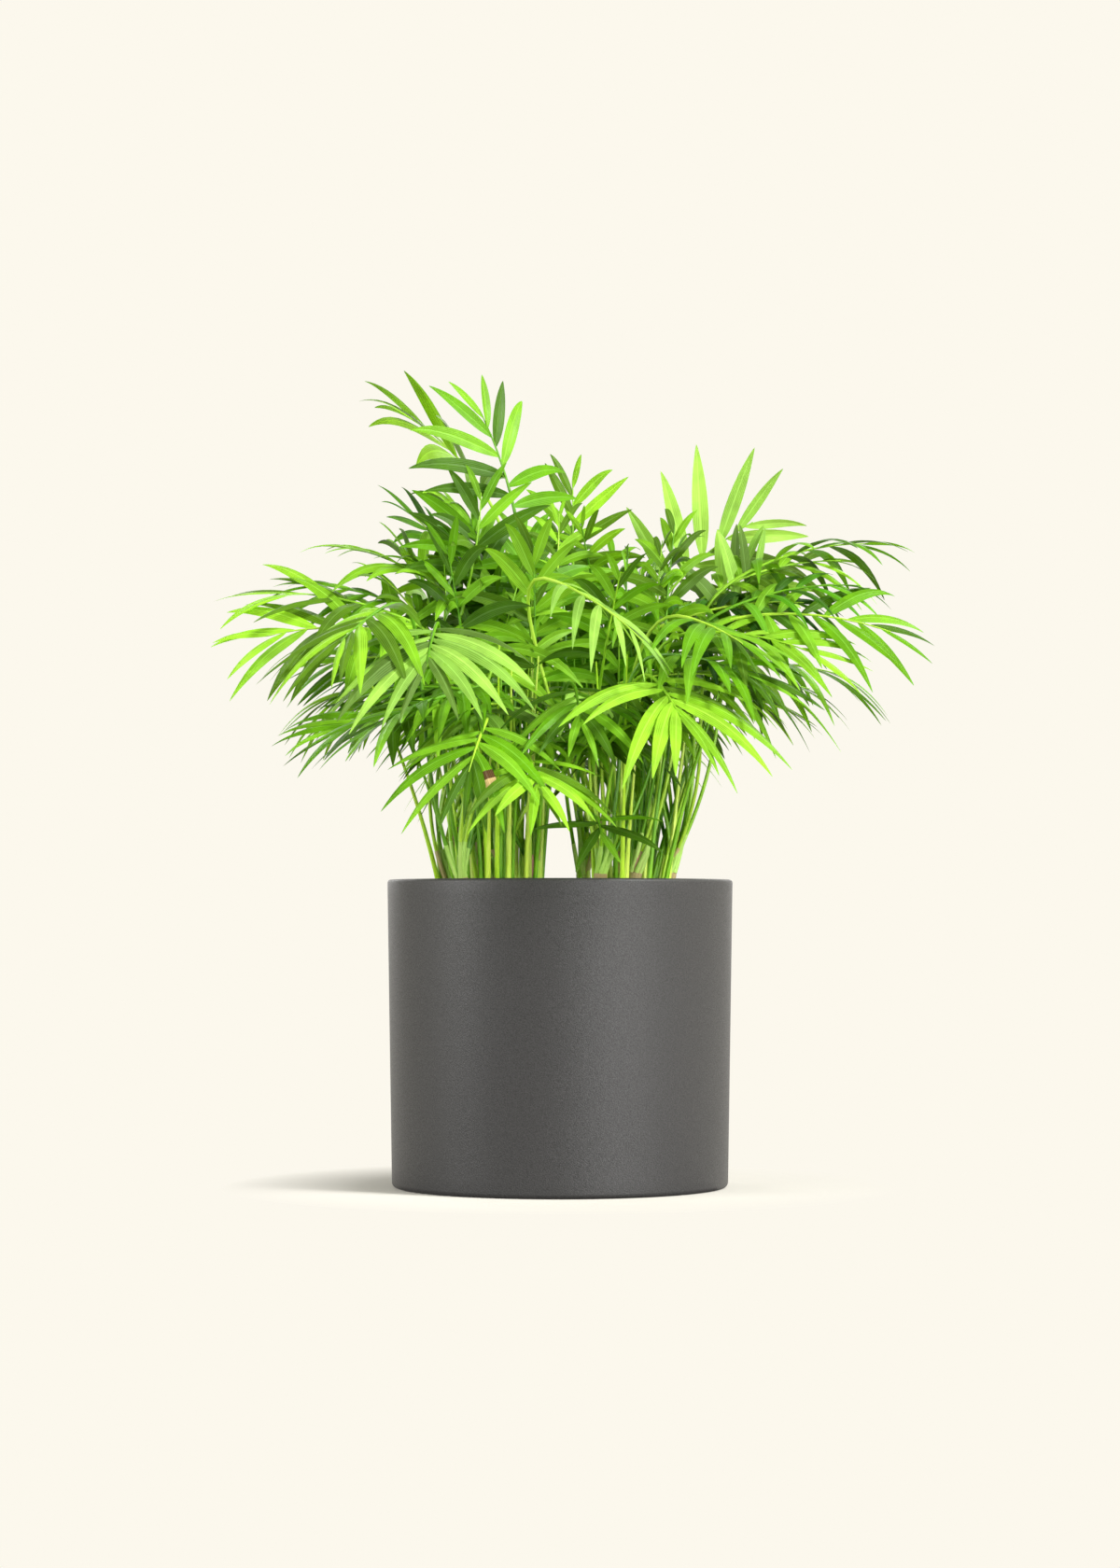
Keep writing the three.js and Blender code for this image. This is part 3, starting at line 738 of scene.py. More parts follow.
@dataclass
class Planter:
    """The straight-sided planter, turned about its upright axis."""

    height: float = 186
    rim_radius: float = 105
    foot_radius: float = 102
    wall: float = 6
    floor: float = 8
    foot_round: float = 3
    lip_round: float = 2.0
    inner_round: float = 4
    wall_rows: int = 26
    sides: int = 192

    def inner_radius(self, height: float) -> float:
        """The radius of the inner wall at a height."""
        return mix(self.foot_radius, self.rim_radius, height / self.height) - self.wall

    def profile(self) -> list[tuple[float, float]]:
        """The outline that turns about the axis, from the foot's middle round to the floor's middle.

        Returns:
            Radii and heights, in millimetres.
        """
        inner_foot = self.inner_radius(self.floor + self.inner_round)
        lip = self.height - self.lip_round

        def arc(x: float, y: float, radius: float, start: float, end: float, steps: int) -> list:
            """Points on an arc in steps about a centre, its angles in degrees from the outward level."""
            turns = np.radians(np.linspace(start, end, steps + 1))
            return [(x + radius * math.cos(t), y + radius * math.sin(t)) for t in turns]

        outer = [
            (mix(self.foot_radius, self.rim_radius, s), mix(self.foot_round, lip, s))
            for s in np.linspace(0, 1, self.wall_rows)[1:-1]
        ]
        return [
            (POLE, 0.0),
            (self.foot_radius * 0.5, 0.0),
            *arc(self.foot_radius - self.foot_round, self.foot_round, self.foot_round, -90, 0, 8),
            *outer,
            *arc(self.rim_radius - self.lip_round, lip, self.lip_round, 0, 90, 6),
            *arc(self.rim_radius - self.wall + self.lip_round, lip, self.lip_round, 90, 180, 6),
            *arc(inner_foot - self.inner_round, self.floor + self.inner_round, self.inner_round, 0, -90, 5),
            (self.foot_radius * 0.5, self.floor),
            (POLE, self.floor),
        ]

    def build(self, finish: bpy.types.Material) -> bpy.types.Object:
        """Makes the planter in the place of its CAD node.

        Args:
            finish: the material of its body.

        Returns:
            The piece.
        """
        rows = np.array([level_ring(radius, height, self.sides) for radius, height in self.profile()])
        draft = MeshDraft()
        draft.turned(rows, turned_uv(self.sides, np.linspace(0, 1, len(rows))))
        made = draft.build("planter", [finish])
        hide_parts("pot")
        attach(made, BODY)
        return made


@dataclass
class PottingMix:
    """The potting mix: an uneven top of crumbs, with bits of bark and grit lying in it."""

    planter: Planter
    level: float = 170
    shoulder: float = 12
    drop: float = 3
    gap: float = 0.3
    relief: float = 1.6
    clod: float = 9
    crumb: float = 2.6
    sides: int = 160
    shoulder_rows: int = 7
    top_rows: int = 48
    bits: int = 520
    bit_length: tuple[float, float] = (1.0, 3.4)
    bit_width: tuple[float, float] = (0.8, 2.0)
    bit_height: tuple[float, float] = (0.5, 1.1)
    bit_margin: float = 4
    bark_share: float = 0.86
    grit_size: float = 0.6
    seed: int = 11

    def _edge(self) -> float:
        """The radius of the top, just inside the planter's wall."""
        return self.planter.inner_radius(self.level - self.drop) - self.gap

    def _top(self, x: float, y: float, edge: float) -> float:
        """The height of the top at a place, lower towards the wall and never above the CAD's level.

        Args:
            x: the place's x.
            y: the place's y.
            edge: the radius of the top.

        Returns:
            The height in millimetres.
        """
        out = math.hypot(x, y)
        slope = max(0.0, (out - (edge - self.shoulder)) / self.shoulder)
        coarse = noise.noise(Vector((x / self.clod, y / self.clod, 3.1)))
        fine = noise.noise(Vector((x / self.crumb, y / self.crumb, 7.7)))
        return self.level - self.drop * slope - self.relief * (0.55 - 0.3 * coarse - 0.25 * fine)

    def build(self, finishes: Sequence[bpy.types.Material]) -> list[bpy.types.Object]:
        """Makes the mix and its bits in the place of the CAD node.

        Args:
            finishes: the mix, then the bark and the pale grit in it.

        Returns:
            The two pieces.
        """
        body = self._body(finishes[0])
        bits = self._bits(finishes[1:])
        for piece in (body, bits):
            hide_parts("potting_mix")
            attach(piece, BODY)
        return [body, bits]

    def _body(self, finish: bpy.types.Material) -> bpy.types.Object:
        """The heaped body of the mix, from its underside up the wall and over the top to the middle.

        Args:
            finish: its material.

        Returns:
            The piece.
        """
        edge = self._edge()
        base = self.planter.floor + self.gap
        bevel = self.planter.inner_round + 1
        low = self.planter.inner_radius(base + bevel) - self.gap
        rows = [
            level_ring(radius, height, self.sides)
            for radius, height in ((POLE, base), (low - bevel, base), (low, base + bevel))
        ]
        shoulder = np.linspace(edge, edge - self.shoulder, self.shoulder_rows)
        inner = np.linspace(edge - self.shoulder - 2, POLE, self.top_rows)
        turns = turns_round(self.sides)
        for radius in (*shoulder, *inner):
            flat = [(radius * math.cos(t), radius * math.sin(t)) for t in turns]
            rows.append(np.array([(x, y, self._top(x, y, edge)) for x, y in flat]))
        draft = MeshDraft()
        draft.turned(np.array(rows), turned_uv(self.sides, np.linspace(0, 1, len(rows))))
        return draft.build("potting_mix_body", [finish])

    def _bits(self, finishes: Sequence[bpy.types.Material]) -> bpy.types.Object:
        """Bark and grit: small lumps half sunk in the top.

        Args:
            finishes: the bark, then the grit.

        Returns:
            The piece.
        """
        draw = SeededDraw(self.seed)
        edge = self._edge()
        draft = MeshDraft()
        for _ in range(self.bits):
            bearing = draw(0, 2 * math.pi)
            out = (edge - self.bit_margin) * math.sqrt(draw(0, 1))
            size = np.array([draw(*self.bit_length), draw(*self.bit_width), draw(*self.bit_height)])
            turn = draw(0, math.pi)
            grit = draw(0, 1) > self.bark_share
            x, y = out * math.cos(bearing), out * math.sin(bearing)
            lump = self._lump(draw, size * (self.grit_size if grit else 1.0), turn)
            top = self._top(x, y, edge)
            draft.add(lump[0] + np.array([x, y, top - 0.1]), lump[1], int(grit))
        return draft.build("potting_mix_bits", list(finishes))

    @staticmethod
    def _lump(draw: SeededDraw, size: np.ndarray, turn: float) -> tuple[np.ndarray, list[tuple[int, ...]]]:
        """A rough six-sided lump about the origin.

        Args:
            draw: the draws that roughen it.
            size: its length, width and height.
            turn: how far it is turned about the upright, in radians.

        Returns:
            Its points and faces.
        """
        rings = [(0.0, -1.0), (0.8, -0.5), (1.0, 0.25), (0.5, 0.85)]
        sides = 6
        points = []
        for radius, height in rings:
            for i in range(sides):
                wide = max(radius, 0.05) * draw(0.75, 1.15)
                angle = 2 * math.pi * i / sides
                points.append((wide * math.cos(angle), wide * math.sin(angle), height))
        places = np.array(points) * size * 0.5
        cos, sin = math.cos(turn), math.sin(turn)
        places = places @ np.array([[cos, sin, 0], [-sin, cos, 0], [0, 0, 1]])
        faces = [
            (
                r * sides + i,
                r * sides + (i + 1) % sides,
                (r + 1) * sides + (i + 1) % sides,
                (r + 1) * sides + i,
            )
            for r in range(len(rings) - 1)
            for i in range(sides)
        ]
        faces.append(tuple(range(sides))[::-1])
        faces.append(tuple(range(3 * sides, 4 * sides)))
        return places, faces


@dataclass
class Cane:
    """One seedling's cane: its place, its lean and the places for stalks on its top."""

    name: str
    side: str
    foot: np.ndarray
    axis: np.ndarray
    top: np.ndarray
    free: list[int] = field(default_factory=lambda: [0, 1, 2])
    sheath_free: bool = True

    def across(self) -> tuple[np.ndarray, np.ndarray]:
        """Directions across the cane.

        Returns:
            The one nearest +X and the one nearest +Y.
        """
        right = np.array([1.0, 0, 0])
        right = unit(right - self.axis * self.axis[0])
        return right, np.cross(self.axis, right)


@dataclass
class Frond:
    """One frond: where its rachis ends and how, its size, and the leaflets that it carries."""

    name: str
    tip: np.ndarray
    heading: float
    pitch: float
    bend: float
    roll: float
    blade: float
    leaf: float
    count: int
    sag: float
    tint: Tint
    partner: Frond | None = None
    cane: Cane | None = None
    slot: int = -1
    petiole: EvenCurve | None = None
    rachis: EvenCurve | None = None

    def way_out(self, pitch: float) -> np.ndarray:
        """The way that the frond runs at a pitch.

        Args:
            pitch: the angle over the level, in degrees.

        Returns:
            A direction of length 1.
        """
        heading = math.radians(self.heading)
        level = math.cos(math.radians(pitch))
        rise = math.sin(math.radians(pitch))
        return np.array([math.cos(heading) * level, math.sin(heading) * level, rise])

    def left(self) -> np.ndarray:
        """The level direction to the left of its heading."""
        heading = math.radians(self.heading)
        return np.array([-math.sin(heading), math.cos(heading), 0.0])


@dataclass(frozen=True)
class BackKind:
    """A kind of frond at the back: ranges for its tip and pitch, and its fixed sizes."""

    reach: tuple[float, float]
    height: tuple[float, float]
    pitch: tuple[float, float]
    bend: float
    blade: float
    leaf: float
    tint: Tint


# The fronds of the front, as they stand in the photograph. Each line gives where the rachis ends, the
# heading and pitch that it ends with, how far it bends along the blade, its roll, and the lengths of the
# blade and its longest leaflets, then the number of leaflets, their sag and the tint.
FRONT_FRONDS = [
    (-49, -10, 472, 180, 64, 14, 122, 66, 62, 10, 0.08, Tint.MID),
    (-92, 42, 474, 180, 34, 24, 4, 66, 88, 10, 0.2, Tint.LIGHT),
    (8, 45, 436, 90, 84, 4, 0, 62, 48, 10, 0.06, Tint.LIGHT),
    (121, 56, 411, 8, 30, 22, -78, 78, 72, 11, 0, Tint.PALE),
    (70, -10, 402, 60, 76, 8, 0, 88, 50, 13, 0.3, Tint.LIGHT),
    (192, 8, 392, 2, -2, 32, -10, 88, 58, 12, 0.42, Tint.MID),
    (182, -18, 364, 0, -4, 28, 26, 84, 44, 12, 0.5, Tint.DEEP),
    (174, 30, 384, 10, 0, 28, 32, 84, 50, 12, 0.45, Tint.LIGHT),
    (198, -42, 334, -8, -20, 26, 40, 88, 60, 12, 0.24, Tint.MID),
    (152, -70, 318, -22, -24, 24, 24, 78, 66, 12, 0.22, Tint.LIGHT),
    (118, -96, 300, -36, -28, 24, 14, 72, 60, 12, 0.26, Tint.MID),
    (106, -104, 322, -50, -28, 14, 0, 52, 56, 11, 0.36, Tint.MID),
    (69, -135, 278, -70, -36, 10, 0, 46, 70, 11, 0.34, Tint.LIGHT),
    (48, -118, 322, -42, -40, 20, 0, 80, 42, 11, 0.6, Tint.PALE),
    (-12, -150, 236, -80, -36, 10, 0, 34, 52, 11, 0.26, Tint.LIGHT),
    (-76, -142, 308, -95, -36, 10, 0, 46, 70, 12, 0.3, Tint.PALE),
    (-126, -125, 322, -125, -34, 10, 0, 46, 62, 11, 0.4, Tint.LIGHT),
    (-174, -34, 358, 186, -2, 26, -24, 88, 68, 12, 0.24, Tint.LIGHT),
    (-174, -62, 330, 198, -14, 22, -34, 80, 70, 12, 0.22, Tint.LIGHT),
    (-144, -16, 316, 184, -14, 24, -28, 74, 56, 12, 0.28, Tint.MID),
    (-130, 20, 310, 178, -10, 24, -24, 66, 52, 12, 0.26, Tint.DEEP),
    (-134, -60, 274, 200, -22, 14, -20, 48, 60, 12, 0.2, Tint.MID),
    (-52, -138, 246, -104, -46, 12, 0, 44, 58, 11, 0.26, Tint.MID),
    (24, -74, 213, -84, -36, 8, 0, 16, 52, 5, 0.06, Tint.MID),
    (-128, 10, 390, 176, 14, 26, -14, 78, 64, 12, 0.3, Tint.LIGHT),
    (-94, 22, 414, 165, 40, 20, 20, 76, 58, 12, 0.18, Tint.DEEP),
    (-154, -10, 366, 182, 4, 24, -26, 82, 50, 12, 0.36, Tint.MID),
    (-16, -44, 386, -96, 76, 8, 0, 84, 58, 12, 0.2, Tint.LIGHT),
    (-68, -40, 386, -128, 72, 8, 0, 80, 58, 12, 0.24, Tint.MID),
    (148, -14, 354, -4, -4, 24, 36, 84, 56, 12, 0.5, Tint.SHADE),
    (36, -60, 368, -70, 56, 12, 0, 80, 54, 12, 0.34, Tint.MID),
    (12, -116, 276, -85, -38, 12, 0, 42, 50, 11, 0.36, Tint.MID),
    (-24, 20, 402, 110, 70, 10, 0, 80, 58, 12, 0.24, Tint.MID),
    (-110, -108, 272, -142, -30, 14, 0, 50, 58, 11, 0.22, Tint.MID),
]


@dataclass
class Seedlings:
    """The canes, and the rule that settles which cane each frond stands on and how its stalk runs."""

    # The clumps' middles and half sizes, and the canes in them.
    clumps: dict[str, tuple[float, float]] = field(
        default_factory=lambda: {"left": (-41.0, 0.0), "right": (38.0, 0.0)}
    )
    clump_reach: tuple[float, float] = (30, 36)
    canes_each: int = 6
    golden_share: float = 0.618
    heights: tuple[float, float] = (13, 27)
    flare_radius: float = 5.2
    lean: float = 0.0035
    seat_level: float = 170.3
    gap: float = 0.3
    # How a frond chooses its cane: by the way that it goes, its clump and the fronds already there.
    aim_reach: float = 170
    aim_steps: float = 6
    far_clump_cost: float = 60
    crowding_cost: float = 5
    # The places for stalks on a cane's top, and the stalks' own radii and curves.
    slot_angles: tuple[float, ...] = (198, 270, 342, 54, 126)
    back_slots: tuple[int, int] = (3, 4)
    slot_radius: float = 2.4
    stalk_radius: float = 1.2
    stalk_mid_radius: float = 1.05
    stalk_tip_radius: float = 0.6
    petiole_steps: int = 4
    rachis_samples: int = 6
    rise: float = 0.46
    reach_back: float = 0.34
    outward: float = 0.85
    # How far stalks and canes keep apart, and the ways aside that a stalk may take for it, tried in turn.
    stalk_clearance: float = 0.3
    parting_clearance: float = 0.1
    parting_steps: int = 2
    cane_clearance: float = 0.6
    bows: tuple[float, ...] = (0, 5, -5, 10, -10, 15, -15, 21, -21, 28, -28, 36, -36)
    rises: tuple[float, ...] = (1, 1.2, 0.8, 1.4, 0.6)
    shifts: tuple[float, ...] = (0, 6, -6, 12, -12, 20, -20)
    # The fronds of the back: pairs at evenly spread bearings, each a little astray.
    back_pairs: int = 12
    back_spread: tuple[float, float] = (8, 172)
    back_apart: float = 4
    back_sway: tuple[float, float] = (-3, 3)
    back_turn: tuple[float, float] = (-12, 12)
    back_roll: tuple[float, float] = (-10, 10)
    back_sag: tuple[float, float] = (0.36, 0.6)
    back_seed: int = 7
    back_count: int = 11
    # The younger fronds: how far out and how high the grown one ends, and how they differ from it.
    young_far: float = 180
    young_high: float = 380
    young_higher: tuple[float, float] = (4, 26)
    young_seed: int = 2000
    young_reach: tuple[float, float] = (0.45, 0.85)
    young_top: float = 426
    young_lower: tuple[float, float] = (6, 48)
    young_floor: float = 262
    young_outer_floor: float = 304
    young_outer: float = 120
    young_stray: tuple[float, float] = (-16, 16)
    young_turn: tuple[float, float] = (-40, 40)
    young_lift: tuple[float, float] = (4, 34)
    young_size: tuple[float, float] = (0.76, 0.94)
    young_roll: tuple[float, float] = (-20, 20)
    young_sag: tuple[float, float] = (0.05, 0.25)
    young_rise: tuple[float, float] = (0.8, 1.2)
    young_bow: tuple[float, float] = (-10, 10)
    young_leaflets: int = 10
    young_slot: float = 0.6
    # The closed shoots of each clump.
    spears_each: int = 48
    spear_seed: int = 70
    spear_reach: tuple[float, float] = (18, 62)
    spear_top: tuple[float, float] = (262, 330)
    spear_bow: float = 0.2
    spear_swerve: tuple[float, float] = (-0.5, 0.5)
    spear_inward: float = 0.25
    spear_inner: float = 0.04
    spear_sunk: float = 3
    spear_gap: float = 12
    canes: list[Cane] = field(default_factory=list)
    front: list[Frond] = field(default_factory=list)
    back: list[list[Frond]] = field(default_factory=list)

    def settle(self) -> None:
        """Places the canes and every frond's stalk."""
        self.canes = self._canes()
        self.front = self._front()
        self.back = self._back()
        self._place(self.fronds())

    def fronds(self) -> list[Frond]:
        """Every frond, the front ones first."""
        return [*self.front, *(frond for pair in self.back for frond in pair)]

    def young_count(self, frond: Frond) -> int:
        """How many younger fronds rise beside a frond: two where it ends high, none at the far reach.

        Args:
            frond: the grown frond.

        Returns:
            Their number.
        """
        if math.hypot(frond.tip[0], frond.tip[1]) > self.young_far:
            return 0
        return 2 if frond.tip[2] > self.young_high else 1

    def young(self, frond: Frond, index: int) -> list[Frond]:
        """The younger fronds that rise beside a frond from the same cane, within its reach.

        Args:
            frond: the grown frond.
            index: its number, which seeds the draws.

        Returns:
            New fronds, with their stalks settled.
        """
        draw = SeededDraw(self.young_seed + index)
        x, y = self.clumps[frond.cane.side]
        made = []
        for i in range(self.young_count(frond)):
            nearer = draw(*self.young_reach)
            tip = np.array([mix(x, frond.tip[0], nearer), mix(y, frond.tip[1], nearer), 0.0])
            tip[:2] += [draw(*self.young_stray), draw(*self.young_stray)]
            outer = min(1.0, abs(tip[0]) / self.young_outer)
            floor = mix(self.young_floor, self.young_outer_floor, outer)
            lower = draw(*(self.young_higher if i else self.young_lower))
            tip[2] = max(min(frond.tip[2], self.young_top) - lower, floor)
            heading = frond.heading + draw(*self.young_turn)
            pitch = frond.pitch + draw(*self.young_lift)
            size = draw(*self.young_size)
            roll = frond.roll + draw(*self.young_roll)
            sag = frond.sag + draw(*self.young_sag)
            growing = Frond(
                frond.name, tip, heading, pitch, frond.bend, roll, frond.blade * size, frond.leaf * size,
                self.young_leaflets, sag, frond.tint, cane=frond.cane,
            )
            turn = draw(0, 2 * math.pi)
            right, back = frond.cane.across()
            aside = self.slot_radius * self.young_slot
            foot = frond.cane.top + aside * (right * math.cos(turn) + back * math.sin(turn))
            rise = draw(*self.young_rise)
            bow = draw(*self.young_bow)
            growing.petiole, growing.rachis = self._curves(growing, frond.cane, foot, rise, bow, 0)
            made.append(growing)
        return made

    def spears(self) -> list[EvenCurve]:
        """The closed young shoots: they rise from the mix in each clump and lean out under the crown.

        Returns:
            A curve for each shoot.
        """
        draw = SeededDraw(self.spear_seed)
        made = []
        for x, y in self.clumps.values():
            for _ in range(self.spears_each):
                turn = draw(0, 2 * math.pi)
                out = math.sqrt(draw(self.spear_inner, 1))
                wide, deep = self.clump_reach
                foot = np.array([x + wide * out * math.cos(turn), y + deep * out * math.sin(turn), 0.0])
                foot[2] = self.seat_level - self.spear_sunk
                if abs(foot[0]) < self.spear_gap:
                    continue
                swerve = turn + draw(*self.spear_swerve)
                aim = np.array([math.cos(swerve), math.sin(swerve), 0.0])
                reach = out * draw(*self.spear_reach)
                if aim[0] * x < 0:
                    aim[0] *= self.spear_inward
                end = np.array([foot[0], foot[1], draw(*self.spear_top)]) + aim * reach
                middle = mix(foot, end, 0.5) - aim * (reach * self.spear_bow)
                made.append(EvenCurve([foot, middle, end]))
        return made

    def _canes(self) -> list[Cane]:
        """The canes, spread evenly across each clump and staggered from front to back.

        Returns:
            The canes, the left clump's first.
        """
        made = []
        for clump, (side, (x, y)) in enumerate(self.clumps.items()):
            for i in range(self.canes_each):
                draw = SeededDraw(100 * clump + i)
                across = (2 * i + 1) / self.canes_each - 1
                deep = 2 * ((0.5 + self.golden_share * i) % 1) - 1
                foot = np.array(
                    [x + self.clump_reach[0] * across, y + self.clump_reach[1] * deep, self.seat_level]
                )
                axis = unit(np.array([foot[0] * self.lean, foot[1] * self.lean, 1.0]))
                top = foot + axis * draw(*self.heights)
                made.append(Cane(f"cane_{side}_{i + 1}", side, foot, axis, top))
        return made

    def _front(self) -> list[Frond]:
        """The fronds of the front.

        Returns:
            A frond for each line of the table, not settled yet.
        """
        made = []
        for i, (x, y, z, *rest) in enumerate(FRONT_FRONDS):
            made.append(Frond(f"frond_front_{i + 1:02d}", np.array([x, y, z], float), *rest))
        return made

    def _back(self) -> list[list[Frond]]:
        """The fronds of the back, two to a sheath.

        Returns:
            The pairs, from the right round to the left.
        """
        inner = BackKind((58, 90), (382, 408), (52, 70), 12, 82, 56, Tint.MID)
        middle = BackKind((112, 142), (338, 366), (0, 20), 26, 86, 60, Tint.LIGHT)
        outer = BackKind((150, 182), (308, 342), (-24, -8), 26, 88, 64, Tint.DEEP)
        lower = BackKind((128, 152), (294, 318), (-28, -12), 18, 60, 58, Tint.MID)
        kinds = ((inner, outer), (middle, lower))
        draw = SeededDraw(self.back_seed)
        pairs = []
        for i in range(self.back_pairs):
            between = mix(*self.back_spread, i / (self.back_pairs - 1))
            pair = []
            for j, kind in enumerate(kinds[i % len(kinds)]):
                bearing = between + (self.back_apart if j else -self.back_apart) + draw(*self.back_sway)
                reach = draw(*kind.reach)
                height = draw(*kind.height)
                turn = math.radians(bearing)
                tip = np.array([reach * math.cos(turn), reach * math.sin(turn), height])
                heading = bearing + draw(*self.back_turn)
                pitch = draw(*kind.pitch)
                roll = draw(*self.back_roll)
                sag = draw(*self.back_sag)
                name = f"frond_back_{i + 1:02d}"
                pair.append(
                    Frond(
                        name, tip, heading, pitch, kind.bend, roll, kind.blade, kind.leaf,
                        self.back_count, sag, kind.tint,
                    )
                )
            pair[0].partner, pair[1].partner = pair[1], pair[0]
            pairs.append(pair)
        return pairs

    def slot_point(self, cane: Cane, slot: int) -> np.ndarray:
        """Where a stalk stands on its cane's top.

        Args:
            cane: the cane.
            slot: the number of the place on it.

        Returns:
            The point.
        """
        right, back = cane.across()
        angle = math.radians(self.slot_angles[slot])
        point = cane.top + cane.axis * self.gap
        return point + self.slot_radius * (right * math.cos(angle) + back * math.sin(angle))

    def _cost(self, cane: Cane, point: np.ndarray, tip: np.ndarray) -> float:
        """How far a place in a clump lies from where a frond with this tip would best stand.

        Args:
            cane: the cane that the place is on.
            point: the place.
            tip: where the frond ends.

        Returns:
            The distance in millimetres, more in the wrong clump and on a cane that carries others.
        """
        x, y = self.clumps[cane.side]
        away = np.array([tip[0] - x, tip[1] - y])
        length = float(np.hypot(*away))
        away = away / length * (min(length, self.aim_reach) / self.aim_steps)
        miss = math.hypot(point[0] - x - away[0], point[1] - y - away[1])
        side = "left" if tip[0] < 0 else "right"
        clump = 0 if cane.side == side else self.far_clump_cost
        return miss + clump + (3 - len(cane.free)) * self.crowding_cost

    def _places(self, frond: Frond) -> list[tuple[Cane, int, np.ndarray]]:
        """The free places for a frond, the one nearest the way it goes first.

        Args:
            frond: the frond.

        Returns:
            The cane, the number of the place on it and the point, for each.
        """
        if frond.partner and frond.partner.cane:
            cane = frond.partner.cane
            slot = next(s for s in self.back_slots if s != frond.partner.slot)
            return [(cane, slot, self.slot_point(cane, slot))]
        found = []
        for cane in self.canes:
            slots = (self.back_slots if cane.sheath_free else ()) if frond.partner else cane.free
            for slot in slots:
                point = self.slot_point(cane, slot)
                found.append((self._cost(cane, point, frond.tip), (cane, slot, point)))
        return [place for _, place in sorted(found, key=lambda entry: entry[0])]

    def _curves(
        self, frond: Frond, cane: Cane, foot: np.ndarray, rise: float, bow: float, shift: float
    ) -> tuple[EvenCurve, EvenCurve]:
        """The petiole, up from its cane and over in an arch, and the rachis that bends on to its tip.

        Args:
            frond: the frond.
            cane: the cane that it stands on.
            foot: where its stalk stands on the cane.
            rise: how steeply it sets out, against the usual.
            bow: how far it bows aside, in millimetres.
            shift: how far its tip gives way aside, in millimetres.

        Returns:
            The petiole's curve and the rachis's.
        """
        side = frond.left()
        tip = frond.tip + side * shift
        set_out = frond.way_out(frond.pitch + frond.bend)
        bend_at = tip - frond.way_out(frond.pitch) * (frond.blade / 2)
        node = bend_at - set_out * (frond.blade / 2)
        span = float(np.linalg.norm(foot - node))
        level = np.array([node[0] - foot[0], node[1] - foot[1], 0.0])
        leaving = cane.axis + level * (self.outward / span)
        first = foot + leaving * (span * self.rise * rise) + side * bow
        second = node - set_out * (span * self.reach_back) + side * (bow * 0.5)
        return EvenCurve([foot, first, second, node]), EvenCurve([node, bend_at, tip])

    def _line(self, petiole: EvenCurve, rachis: EvenCurve) -> np.ndarray:
        """Points along both parts of a stalk, at the petiole's own steps.

        Args:
            petiole: the lower part.
            rachis: the upper part.

        Returns:
            The points, one row each.
        """
        lower = petiole.points(np.linspace(0, 1, self.petiole_steps + 1))
        upper = rachis.points(np.linspace(0, 1, self.rachis_samples + 1)[1:])
        return np.concatenate([lower, upper])

    def _place(self, fronds: Sequence[Frond]) -> None:
        """Settles each frond's cane and curve: a stalk bows aside for the ones already placed.

        Args:
            fronds: every frond, in the order that they are placed in.
        """
        taken = TakenSpace(self)
        for cane in self.canes:
            taken.add(np.array([cane.foot, cane.top]), cane, None)
        for frond in fronds:
            way = next(self._ways(frond, taken), None)
            if way is None:
                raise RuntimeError(f"{frond.name} finds no clear way")
            (frond.cane, frond.slot, _), (frond.petiole, frond.rachis), line = way
            frond.cane.free = [slot for slot in frond.cane.free if slot != frond.slot]
            if frond.partner:
                frond.cane.sheath_free = False
            taken.add(line, frond.cane, frond)

    def _ways(self, frond: Frond, taken: TakenSpace) -> Iterable[tuple]:
        """The clear ways for a frond's stalk, the best first.

        Args:
            frond: the frond.
            taken: what is placed already.

        Returns:
            The place, the curves of the two parts and their points, for each.
        """
        places = self._places(frond)
        for shift in self.shifts:
            for place in places:
                for rise in self.rises:
                    for bow in self.bows:
                        curves = self._curves(frond, place[0], place[2], rise, bow, shift)
                        line = self._line(*curves)
                        if taken.clear(line, place[0], frond):
                            yield place, curves, line


class TakenSpace:
    """The straight pieces of every stalk and cane placed so far."""

    def __init__(self, plan: Seedlings) -> None:
        """Starts empty.

        Args:
            plan: the plan whose clearances hold.
        """
        self.plan = plan
        self.starts: list[np.ndarray] = []
        self.spans: list[np.ndarray] = []
        self.steps: list[int] = []
        self.owners: list[tuple[Cane, Frond | None]] = []

    def add(self, line: np.ndarray, cane: Cane, frond: Frond | None) -> None:
        """Adds a line of points on a cane, of a frond or of the cane itself.

        Args:
            line: the points, one row each.
            cane: the cane.
            frond: the frond, or None for the cane's own line.
        """
        for step in range(len(line) - 1):
            self.starts.append(line[step])
            self.spans.append(line[step + 1] - line[step])
            self.steps.append(step)
            self.owners.append((cane, frond))

    def clear(self, line: np.ndarray, cane: Cane, frond: Frond) -> bool:
        """Whether a frond's line keeps clear of all of them.

        Args:
            line: the frond's points.
            cane: the cane that it would stand on.
            frond: the frond, whose partner it may touch near the foot.

        Returns:
            True where nothing stands too near.
        """
        plan = self.plan
        stalks = 2 * plan.stalk_radius + plan.stalk_clearance
        parting = 2 * plan.stalk_radius + plan.parting_clearance
        canes = plan.flare_radius + plan.stalk_radius + plan.cane_clearance
        reach = np.empty((len(line) - 1, len(self.starts)))
        for j, (owner, other) in enumerate(self.owners):
            if other is None:
                reach[:, j] = 0 if owner is cane else canes
                continue
            reach[:, j] = stalks
            if owner is cane and self.steps[j] < plan.parting_steps:
                near = 0 if other is frond.partner else parting
                reach[: plan.parting_steps, j] = near
        gaps = segment_gaps(line[:-1], np.diff(line, axis=0), np.array(self.starts), np.array(self.spans))
        return bool((gaps >= reach).all())


